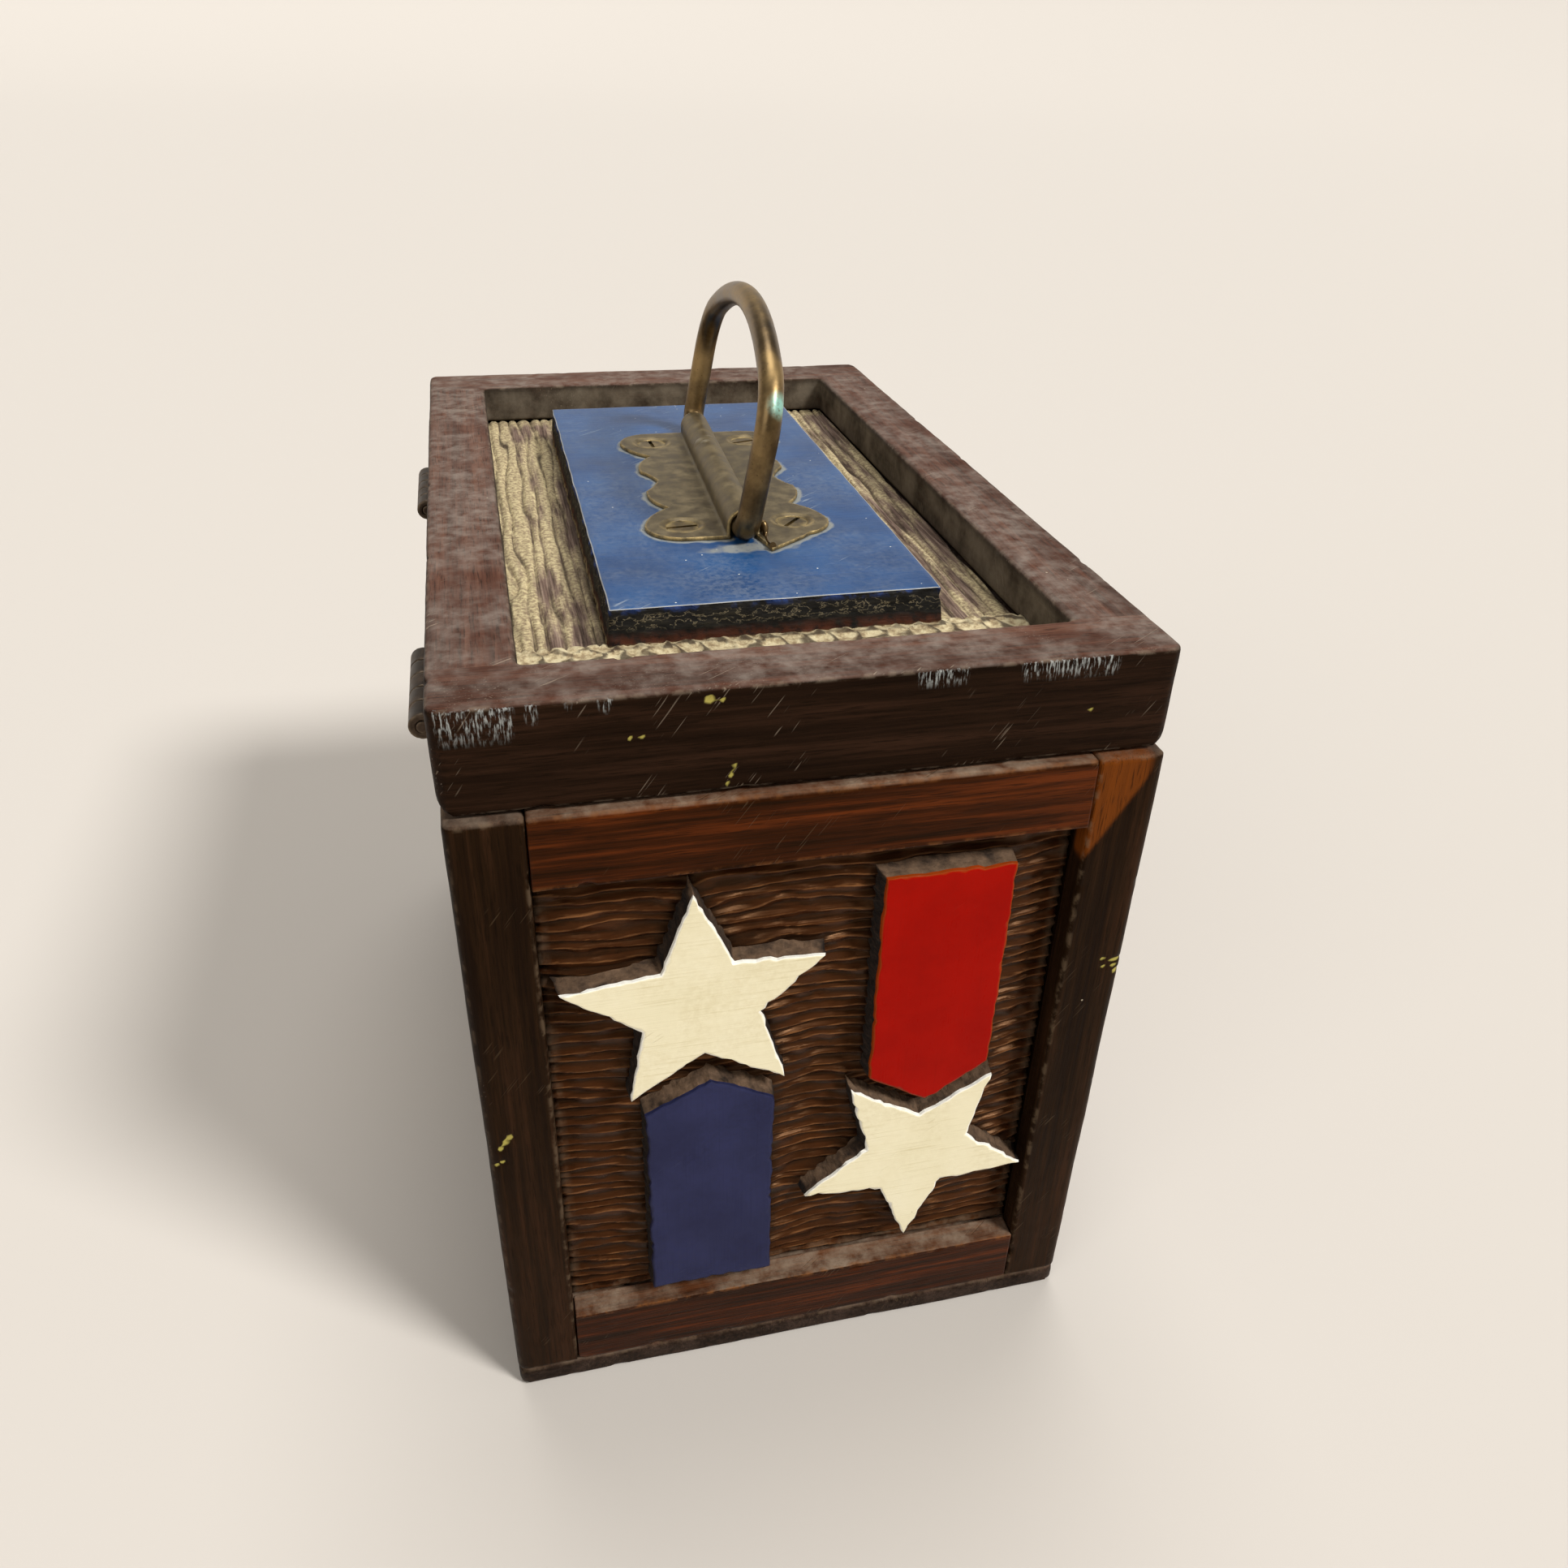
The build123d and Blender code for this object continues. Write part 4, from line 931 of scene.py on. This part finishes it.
handleTurn = Matrix.Rotation(math.radians(handle["turn"]), 2)
handleSpots = [
    Vector(handle["middle"]) + handleTurn @ Vector((side * handle["screwX"], end * handle["screwY"]))
    for side in (-1, 1) for end in (-1, 1)]


def lidPanel():
    # the gouged recess of the lid with the painted block standing in it
    low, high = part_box("lid_panel")
    floor = high.z / mm - block["height"]
    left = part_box("lid_side_left")[1].x / mm
    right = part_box("lid_side_right")[0].x / mm
    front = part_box("lid_rail_front")[1].y / mm
    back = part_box("lid_rail_back")[0].y / mm
    middle = (front + back) / 2
    values = {"Length": (back - front) * mm, "Width": (right - left) * mm,
              "Scale Until": (block["front"] - middle) * mm, **recessGouges}
    piece = gougedSlab("lidPanel", values, "recess", "bareAlong")
    mesh = piece.data
    # the rule's X becomes the lid's Y
    mesh.transform(Matrix.Translation((0, middle * mm, floor * mm)) @ Matrix.Rotation(math.radians(90), 4, "Z"))
    points, _ = meshArrays(mesh)
    flat = points / mm
    half = block["width"] / 2
    besideBlock = np.maximum(
        np.abs(flat[:, 0]) - half, np.maximum(block["front"] - flat[:, 1], flat[:, 1] - block["back"]))
    frameGap = np.minimum(flat[:, 0] - left, np.minimum(flat[:, 1] - front, back - flat[:, 1]))
    inFront = flat[:, 1] < block["front"] + 0.5
    # the distance beside the block sets the painted shade there; none in front of it
    storeValues(mesh, "crevice", np.where(inFront, 9.0, np.abs(besideBlock)))
    storeValues(mesh, "margin", np.where(inFront, 0.0, frameGap))
    storeValues(mesh, "fluff", inFront.astype(float))
    storeValues(mesh, "drop", np.full(len(points), 9.0))
    # dust has drifted up against the front of the block
    drift = block["drift"] * inFront * np.clip(1 - (block["front"] - flat[:, 1]) / block["driftReach"], 0.35, 1)
    points[:, 2] += (drift * (flat[:, 2] > floor - 2)).astype(np.float32) * mm
    mesh.vertices.foreach_set("co", points.ravel())
    mesh.materials.append(finishes["blockSide"])
    mesh.materials.append(finishes["blue"])
    work = bmesh.new()
    work.from_mesh(mesh)
    rimLayer = work.verts.layers.float.new("rim")
    crustLayer = work.verts.layers.float.new("crust")
    dropLayer = work.verts.layers.float["drop"]
    corners = [(-half, block["front"]), (half, block["front"]), (half, block["back"]), (-half, block["back"])]
    steps = []
    for index in range(4):
        length = (Vector(corners[(index + 1) % 4]) - Vector(corners[index])).length
        pieces = round(length / block["step"])
        steps += [(index, part / pieces) for part in range(pieces)]
    # each ring's growth, how far down it lies, and its share of the thick paint rim, whose colour is partly a painted
    # highlight
    levels = [(-block["lip"], 0.0, 0.0), (0.0, 0.14, 1.0), (0.1, 0.6, 1.0)]
    levels += [(0.1 + block["lean"] * k / 7, 0.6 + 1.25 * k, 0.0) for k in range(1, 8)]
    rings = []
    for grow, drop, rim in levels:
        moved = grownCorners(corners, grow)
        ring = []
        for index, part in steps:
            spot = moved[index].lerp(moved[(index + 1) % 4], part)
            edge = (moved[(index + 1) % 4] - moved[index]).normalized()
            outward = Vector((edge.y, -edge.x))
            push = 0.22 * noise.noise(Vector((spot.x * 0.12, spot.y * 0.12, 2.0)))
            if drop > 0.3:
                push += 0.5 * noise.noise(Vector((spot.x * 0.45, spot.y * 0.45, drop * 0.6)))
                push += 0.25 * noise.noise(Vector((spot.x * 1.3, spot.y * 1.3, drop * 1.3)))
            spot = spot + outward * push
            vert = work.verts.new(Vector((spot.x, spot.y, floor + block["height"] - drop)) * mm)
            vert[rimLayer] = rim
            vert[dropLayer] = drop
            ring.append(vert)
        rings.append(ring)
    size = len(steps)
    for level in range(len(rings) - 1):
        for index in range(size):
            after = (index + 1) % size
            face = work.faces.new((
                rings[level][index], rings[level + 1][index], rings[level + 1][after], rings[level][after]))
            face.material_index = 3 if level < 1 else 2
            face.smooth = level != 1
    work.faces.new(rings[-1][::-1]).material_index = 2

    # the painted top as a grid, so that it can hold the crust round the plate and the screw seats under it
    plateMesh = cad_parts["handle_plate"].data
    plateTree = BVHTree.FromPolygons([v.co for v in plateMesh.vertices], [p.vertices for p in plateMesh.polygons])
    smearSpot = Vector(handle["middle"]) + handleTurn @ Vector(block["smearMiddle"])
    columns = round(block["width"] / block["step"])
    rows = round((block["back"] - block["front"]) / block["step"])
    outer = rings[0]
    grid = {}
    for column in range(columns + 1):
        grid[column, 0] = outer[column]
        grid[column, rows] = outer[(columns + rows + columns - column) % size]
    for row in range(1, rows):
        grid[columns, row] = outer[columns + row]
        grid[0, row] = outer[size - row]
    for column in range(1, columns):
        for row in range(1, rows):
            start, end = grid[column, 0].co, grid[column, rows].co
            spot = start.lerp(end, row / rows)
            spot.z += 0.05 * mm * noise.noise(spot / (9 * mm))
            gap = plateTree.find_nearest(Vector((spot.x, spot.y, plateTop * mm)))[3] / mm
            seat = min((spot.xy / mm - place).length for place in handleSpots)
            if seat < block["seatRadius"]:
                spot.z -= block["seatDepth"] * mm
            vert = work.verts.new(spot)
            beside = spot.xy / mm - smearSpot
            smear = 1.15 - math.hypot(beside.x / block["smearHalf"][0], beside.y / block["smearHalf"][1])
            rough = 0.45 * noise.noise(spot / (2.2 * mm))
            vert[crustLayer] = max(0.0, 1 - gap / block["crustWidth"] + rough, smear + rough)
            vert[rimLayer] = 0.0
            grid[column, row] = vert
    for column in range(columns):
        for row in range(rows):
            face = work.faces.new((
                grid[column, row], grid[column + 1, row], grid[column + 1, row + 1], grid[column, row + 1]))
            face.material_index = 3
            face.smooth = True
    work.to_mesh(mesh)
    work.free()
    mesh.update()
    return settled(piece, "lid", ["lid_panel"])


lidPanel()
print("lid panel")


# the pressed rim round each screw of the plate, worn and painted with a highlight: radius, half width and lift in mm
dimple = {"radius": 4.4, "halfWidth": 0.75, "lift": 0.2}


def metalPiece(node, name, body, finish, voxel, blots=(), rings=()):
    # blots: x, y, z, radius and lift in mm, and the value they mark; rings: middles of dimple rims, worn and painted
    # with a highlight
    piece = fineCopy([node], name, voxel)
    mesh = piece.data
    points, normals = meshArrays(mesh)
    # bent outwards more than its neighbours means a rubbed corner
    convex = np.zeros(len(points))
    counts = np.zeros(len(points))
    pairs = np.empty(len(mesh.edges) * 2, np.int32)
    mesh.edges.foreach_get("vertices", pairs)
    pairs = pairs.reshape(-1, 2)
    run = points[pairs[:, 1]] - points[pairs[:, 0]]
    run /= np.maximum(np.linalg.norm(run, axis=1, keepdims=True), 1e-9)
    turn = ((normals[pairs[:, 1]] - normals[pairs[:, 0]]) * run).sum(axis=1)
    for side in (0, 1):
        np.add.at(convex, pairs[:, side], turn)
        np.add.at(counts, pairs[:, side], 1)
    marks = {"edge": np.clip(convex / np.maximum(counts, 1) * 3, 0, 1)}
    marks.update(verdigris=np.zeros(len(points)), solder=np.zeros(len(points)))
    for x, y, z, radius, lift, mark in blots:
        away = np.linalg.norm(points / mm - np.array((x, y, z)), axis=1)
        share = np.clip(1.4 * (1 - away / radius), 0, 1)
        marks[mark] = np.maximum(marks[mark], share)
        points = points + normals * (share * lift * mm)[:, None]
    # dimple rims take the rubbed colour, more on their front side: wear, and a painted highlight
    for middle in rings:
        away = np.hypot(points[:, 0] / mm - middle.x, points[:, 1] / mm - middle.y)
        facing = np.clip(0.45 - (points[:, 1] / mm - middle.y) / 6, 0.15, 1)
        rim = np.clip(1 - np.abs(away - dimple["radius"]) / dimple["halfWidth"], 0, 1) * facing
        marks["edge"] = np.maximum(marks["edge"], rim)
        points = points + normals * (rim * dimple["lift"] * mm)[:, None]
    mesh.vertices.foreach_set("co", points.astype(np.float32).ravel())
    mesh.update()
    for label, amount in marks.items():
        storeValues(mesh, label, amount)
    mesh.materials.append(finishes[finish])
    return settled(piece, body, [node])


solderLumps = (
    (-0.9, 14.2, 176.6, 1.6, 0.28, "solder"), (0.5, 11.8, 176.9, 1.3, 0.22, "solder"),
    (1.9, 15.6, 176.6, 1.2, 0.2, "solder"))
verdigrisSpot = (6.0, -42.0, 199.5, 3.2, 0.0, "verdigris")
metalPiece("handle_plate", "handlePlate", "lid", "plate", 0.3, solderLumps, handleSpots)
metalPiece("handle_bail", "handleBail", "handle", "bail", 0.4, (verdigrisSpot,))
for end in ("front", "back"):
    metalPiece("hinge_" + end + "_case_leaf", "hingeCaseLeaf." + end, "case", "hinge", 0.3)
    metalPiece("hinge_" + end + "_lid_leaf", "hingeLidLeaf." + end, "lid", "hinge", 0.3)
    metalPiece("hinge_" + end + "_pin", "hingePin." + end, "case", "hinge", 0.25)
for node, name, ridesOn, finish, voxel in (
        ("catch_plate", "catchPlate", "case", "plate", 0.25), ("catch_lever", "catchLever", "catch", "plate", 0.25),
        ("catch_pin", "catchPin", "case", "screw", 0.2), ("catch_keeper", "catchKeeper", "lid", "plate", 0.25),
        ("keeper_pins", "keeperPins", "lid", "screw", 0.2)):
    metalPiece(node, name, ridesOn, finish, voxel)

# the rolled lip's line: x, y, height over the lid panel, thickness; low under the path of the bail's leg
lip = {
    "radius": 0.62,
    "course": (
        (4.0, -35.9, 1.0, 1.0), (4.1, -37.0, 3.1, 1.5), (4.6, -37.7, 2.4, 1.3), (4.6, -38.6, 0.6, 0.7),
        (4.4, -41.5, 0.55, 0.7), (4.6, -44.0, 0.6, 0.7), (4.8, -45.6, 1.1, 1.2)),
}


def rolledLip():
    # the plate's front corner is rolled up beside the bail's foot, thick in the middle
    shape = bpy.data.curves.new("rolledLip", "CURVE")
    shape.dimensions = "3D"
    shape.bevel_depth = lip["radius"] * mm
    shape.bevel_resolution = 4
    shape.use_fill_caps = True
    line = shape.splines.new("NURBS")
    line.points.add(len(lip["course"]) - 1)
    for point, (x, y, z, thickness) in zip(line.points, lip["course"]):
        spot = Vector(handle["middle"]) + handleTurn @ Vector((x, y))
        point.co = (spot.x * mm, spot.y * mm, (plateTop - plateThickness + z) * mm, 1)
        point.radius = thickness
    line.order_u = 3
    line.use_endpoint_u = True
    holder = linked("lipCurve", shape)
    graph = bpy.context.evaluated_depsgraph_get()
    mesh = bpy.data.meshes.new_from_object(holder.evaluated_get(graph))
    bpy.data.objects.remove(holder)
    piece = linked("rolledLip", mesh)
    for face in mesh.polygons:
        face.use_smooth = True
    points, _ = meshArrays(mesh)
    # the top of the lip takes the rubbed colour: wear, and a painted highlight
    storeValues(mesh, "edge", np.clip((points[:, 2] / mm - plateTop - 2.4) / 0.9, 0, 1))
    mesh.materials.clear()
    mesh.materials.append(finishes["bail"])
    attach(piece, "lid")


rolledLip()
print("metal")


screwSizes = ("Head Radius", "Head Depth", "Shank Radius", "Length", "Slot Width", "Slot Depth")
screwSums = (
    ("slotLength", "MULTIPLY", "Head Radius", 2.2), ("slotHeight", "MULTIPLY", "Slot Depth", 2.0),
    ("sunk", "MULTIPLY", "Head Depth", 0.8), ("shankLength", "SUBTRACT", "Length", "sunk"),
    ("shankTop", "MULTIPLY", "Shank Radius", 0.96), ("shankTip", "MULTIPLY", "Shank Radius", 0.25),
    ("headDrop", "MULTIPLY", "Head Depth", -1.0), ("shankDrop", "MULTIPLY", "Length", -1.0),
    ("xSquare", "MULTIPLY", "x", "x"), ("ySquare", "MULTIPLY", "y", "y"),
    ("squares", "ADD", "xSquare", "ySquare"), ("away", "SQRT", "squares"),
    ("awayShare", "DIVIDE", "away", "Head Radius"),
)


def screwTree():
    # one countersunk screw with a slot, head up at z = 0, set on every point at the point's spin
    tree = bpy.data.node_groups.new("slottedScrews", "GeometryNodeTree")
    tree.interface.new_socket("Spots", in_out="INPUT", socket_type="NodeSocketGeometry")
    for label in screwSizes:
        tree.interface.new_socket(label, in_out="INPUT", socket_type="NodeSocketFloat")
    tree.interface.new_socket("Finish", in_out="INPUT", socket_type="NodeSocketMaterial")
    tree.interface.new_socket("Screws", in_out="OUTPUT", socket_type="NodeSocketGeometry")
    given = addNode(tree, "NodeGroupInput").outputs
    place = addNode(tree, "ShaderNodeSeparateXYZ", inputs={0: addNode(tree, "GeometryNodeInputPosition")}).outputs
    known = {label: given[label] for label in screwSizes}
    known.update(x=place["X"], y=place["Y"])
    sums(tree, known, screwSums)

    head = addNode(tree, "GeometryNodeMeshCone", inputs={
        "Vertices": 40, "Side Segments": 2, "Fill Segments": 6, "Radius Top": given["Head Radius"],
        "Radius Bottom": given["Shank Radius"], "Depth": given["Head Depth"]})
    down = addNode(tree, "ShaderNodeCombineXYZ", inputs={2: known["headDrop"]})
    head = addNode(tree, "GeometryNodeTransform", inputs={"Geometry": head.outputs["Mesh"], "Translation": down})
    slotSize = {0: known["slotLength"], 1: given["Slot Width"], 2: known["slotHeight"]}
    slotSize = addNode(tree, "ShaderNodeCombineXYZ", inputs=slotSize)
    slot = addNode(tree, "GeometryNodeMeshCube", inputs={"Size": slotSize})
    parts = {"Mesh 1": head, "Mesh 2": slot.outputs["Mesh"]}
    cutHead = addNode(tree, "GeometryNodeMeshBoolean", {"operation": "DIFFERENCE"}, parts)
    shank = addNode(tree, "GeometryNodeMeshCone", inputs={
        "Vertices": 20, "Side Segments": 3, "Radius Top": known["shankTop"], "Radius Bottom": known["shankTip"],
        "Depth": known["shankLength"]})
    down = addNode(tree, "ShaderNodeCombineXYZ", inputs={2: known["shankDrop"]})
    shank = addNode(tree, "GeometryNodeTransform", inputs={"Geometry": shank.outputs["Mesh"], "Translation": down})
    whole = addNode(tree, "GeometryNodeJoinGeometry")
    tree.links.new(cutHead.outputs["Mesh"], whole.inputs[0])
    tree.links.new(shank.outputs[0], whole.inputs[0])
    # the rim of each head takes the rubbed colour: wear, and a painted highlight
    rubbedAndHighlight = addNode(tree, "ShaderNodeMapRange", inputs={"Value": known["awayShare"], "From Min": 0.7, "From Max": 1.0})
    whole = addNode(
        tree, "GeometryNodeStoreNamedAttribute", {"data_type": "FLOAT", "domain": "POINT"},
        {"Geometry": whole, "Name": "edge", "Value": rubbedAndHighlight})
    spin = addNode(tree, "GeometryNodeInputNamedAttribute", {"data_type": "FLOAT_VECTOR"}, {"Name": "spin"})
    spin = addNode(tree, "FunctionNodeEulerToRotation", inputs={0: spin})
    placed = {"Points": given["Spots"], "Instance": whole, "Rotation": spin}
    placed = addNode(tree, "GeometryNodeInstanceOnPoints", inputs=placed)
    real = addNode(tree, "GeometryNodeRealizeInstances", inputs={"Geometry": placed})
    faced = addNode(tree, "GeometryNodeSetMaterial", inputs={"Geometry": real, "Material": given["Finish"]})
    addNode(tree, "NodeGroupOutput", inputs={"Screws": faced})
    return tree


screws = screwTree()
woodScrew = {
    "Head Radius": 3.4, "Head Depth": 2.2, "Shank Radius": 1.7, "Length": 12.0, "Slot Width": 0.9, "Slot Depth": 0.7}
smallScrew = {
    "Head Radius": 2.2, "Head Depth": 1.3, "Shank Radius": 1.1, "Length": 9.0, "Slot Width": 0.6, "Slot Depth": 0.7}


def screwSet(node, pieceName, body, finish, sizes, spots):
    # spots: place in mm, which way the head faces, and the slot's turn in degrees
    mesh = bpy.data.meshes.new(pieceName)
    mesh.from_pydata([Vector(place) * mm for place, facing, turn in spots], [], [])
    spin = mesh.attributes.new("spin", "FLOAT_VECTOR", "POINT")
    for index, (place, facing, turn) in enumerate(spots):
        aim = Vector(facing).to_track_quat("Z", "Y") @ Euler((0, 0, math.radians(turn))).to_quaternion()
        spin.data[index].vector = aim.to_euler()
    piece = linked(pieceName, mesh)
    rule = piece.modifiers.new("screws", "NODES")
    rule.node_group = screws
    for item in screws.interface.items_tree:
        if item.in_out == "INPUT" and item.name in sizes:
            rule[item.identifier] = sizes[item.name] * mm
        elif item.in_out == "INPUT" and item.name == "Finish":
            rule[item.identifier] = finishes[finish]
    flattened(piece)
    piece.data.materials.clear()
    piece.data.materials.append(finishes[finish])
    for face in piece.data.polygons:
        face.material_index = 0
    return settled(piece, body, [node])


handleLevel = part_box("handle_screws")[1].z / mm
up, down, outward = (0, 0, 1), (0, 0, -1), (1, 0, 0)
screwSet("handle_screws", "handleScrews", "lid", "screw", woodScrew,
         [((spot.x, spot.y, handleLevel), up, turn + handle["turn"])
          for spot, turn in zip(handleSpots, (8, 95, 52, 20))])
hingeSpots = [(-59.4, middle + side * 8.0) for middle in (-58.5, 60.5) for side in (-1, 1)]
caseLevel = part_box("hinge_screws_case")[1].z / mm
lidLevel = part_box("hinge_screws_lid")[0].z / mm
screwSet("hinge_screws_case", "hingeScrewsCase", "case", "hinge", smallScrew,
         [((x, y, caseLevel), up, 25 + 40 * index) for index, (x, y) in enumerate(hingeSpots)])
screwSet("hinge_screws_lid", "hingeScrewsLid", "lid", "hinge", smallScrew,
         [((x, y, lidLevel), down, 65 - 30 * index) for index, (x, y) in enumerate(hingeSpots)])
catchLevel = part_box("catch_screws")[1].x / mm
screwSet("catch_screws", "catchScrews", "case", "screw", smallScrew,
         [((catchLevel, 5.5 + side * 5.2, 140.5), outward, 30 * side) for side in (-1, 1)])
baseSpots = [(x, y) for x in (-32, 32) for y in (-101.1, 101.1)] + [(x, y) for x in (-58, 58) for y in (-52, 52)]
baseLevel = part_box("base_screws")[0].z / mm
screwSet("base_screws", "baseScrews", "case", "hinge", dict(woodScrew, Length=18.0),
         [((x, y, baseLevel), down, 37 * index) for index, (x, y) in enumerate(baseSpots)])
print("screws")


# lights: name, where it shines from, strength and softness in degrees
studio = {
    "floorColour": "#c1bab1", "worldColour": "#ece8e2", "worldStrength": 0.26,
    "flatReach": 5.0, "rimReach": 14.0, "rimHeight": 5.0, "flatSteps": 5, "riseSteps": 12, "sides": 96,
    "lights": (
        ("key", (0.8, -0.75, 1.15), 3.3, 14.0), ("fill", (-0.9, -0.8, 0.7), 0.8, 36.0),
        ("top", (0.1, 0.5, 1.3), 1.45, 32.0)),
}
# the camera's place in mm, its turns in radians and its lens in mm
view = {"place": (-51.6, -279.4, 263.5), "yaw": 0.25, "pitch": 0.555, "roll": 0.031, "lens": 28.18}


def makeStudio():
    # a round paper floor that curves up far behind, and soft distant lights from three sides
    sides, flatSteps = studio["sides"], studio["flatSteps"]
    work = bmesh.new()
    middle = work.verts.new((0, 0, 0))
    rings = []
    for step in range(flatSteps + studio["riseSteps"]):
        share = max(0, step + 1 - flatSteps) / studio["riseSteps"]
        reach = studio["flatReach"] * min(step + 1, flatSteps) / flatSteps
        reach += (studio["rimReach"] - studio["flatReach"]) * share
        angles = [math.tau * k / sides for k in range(sides)]
        height = studio["rimHeight"] * share ** 2
        rings.append([work.verts.new((reach * math.cos(a), reach * math.sin(a), height)) for a in angles])
    for k in range(sides):
        after = (k + 1) % sides
        work.faces.new((middle, rings[0][k], rings[0][after]))
        for inner, outer in zip(rings, rings[1:]):
            work.faces.new((inner[k], outer[k], outer[after], inner[after])).smooth = True
    mesh = bpy.data.meshes.new("floor")
    work.to_mesh(mesh)
    work.free()
    floor = linked("floor", mesh)
    paper, tree, _ = newFinish("matt paper backdrop")
    shader = addNode(tree, "ShaderNodeBsdfPrincipled", inputs={"Base Color": studio["floorColour"], "Roughness": 0.9})
    addNode(tree, "ShaderNodeOutputMaterial", inputs={"Surface": shader})
    mesh.materials.append(paper)
    for name, spot, strength, softness in studio["lights"]:
        lamp = bpy.data.lights.new(name, "SUN")
        lamp.energy = strength
        lamp.angle = math.radians(softness)
        holder = linked(name, lamp)
        holder.rotation_euler = Vector(spot).to_track_quat("Z", "Y").to_euler()
    world = bpy.data.worlds.new("room")
    scene.world = world
    world.use_nodes = True
    world.node_tree.nodes.clear()
    sky = {"Color": studio["worldColour"], "Strength": studio["worldStrength"]}
    sky = addNode(world.node_tree, "ShaderNodeBackground", inputs=sky)
    addNode(world.node_tree, "ShaderNodeOutputWorld", inputs={"Surface": sky})


def makeCamera():
    yaw, pitch, roll = view["yaw"], view["pitch"], view["roll"]
    forward = Vector((math.sin(yaw) * math.cos(pitch), math.cos(yaw) * math.cos(pitch), -math.sin(pitch)))
    right = Vector((math.cos(yaw), -math.sin(yaw), 0))
    up = right.cross(forward)
    rolledRight = right * math.cos(roll) + up * math.sin(roll)
    rolledUp = up * math.cos(roll) - right * math.sin(roll)
    lens = bpy.data.cameras.new("camera")
    lens.lens = view["lens"]
    lens.sensor_width = 36
    lens.clip_start = 0.01
    camera = bpy.data.objects.new("camera", lens)
    scene.collection.objects.link(camera)
    turn = Matrix((rolledRight, rolledUp, -forward)).transposed().to_4x4()
    camera.matrix_world = Matrix.Translation(Vector(view["place"]) * mm) @ turn
    scene.camera = camera


makeStudio()
makeCamera()
print("studio")
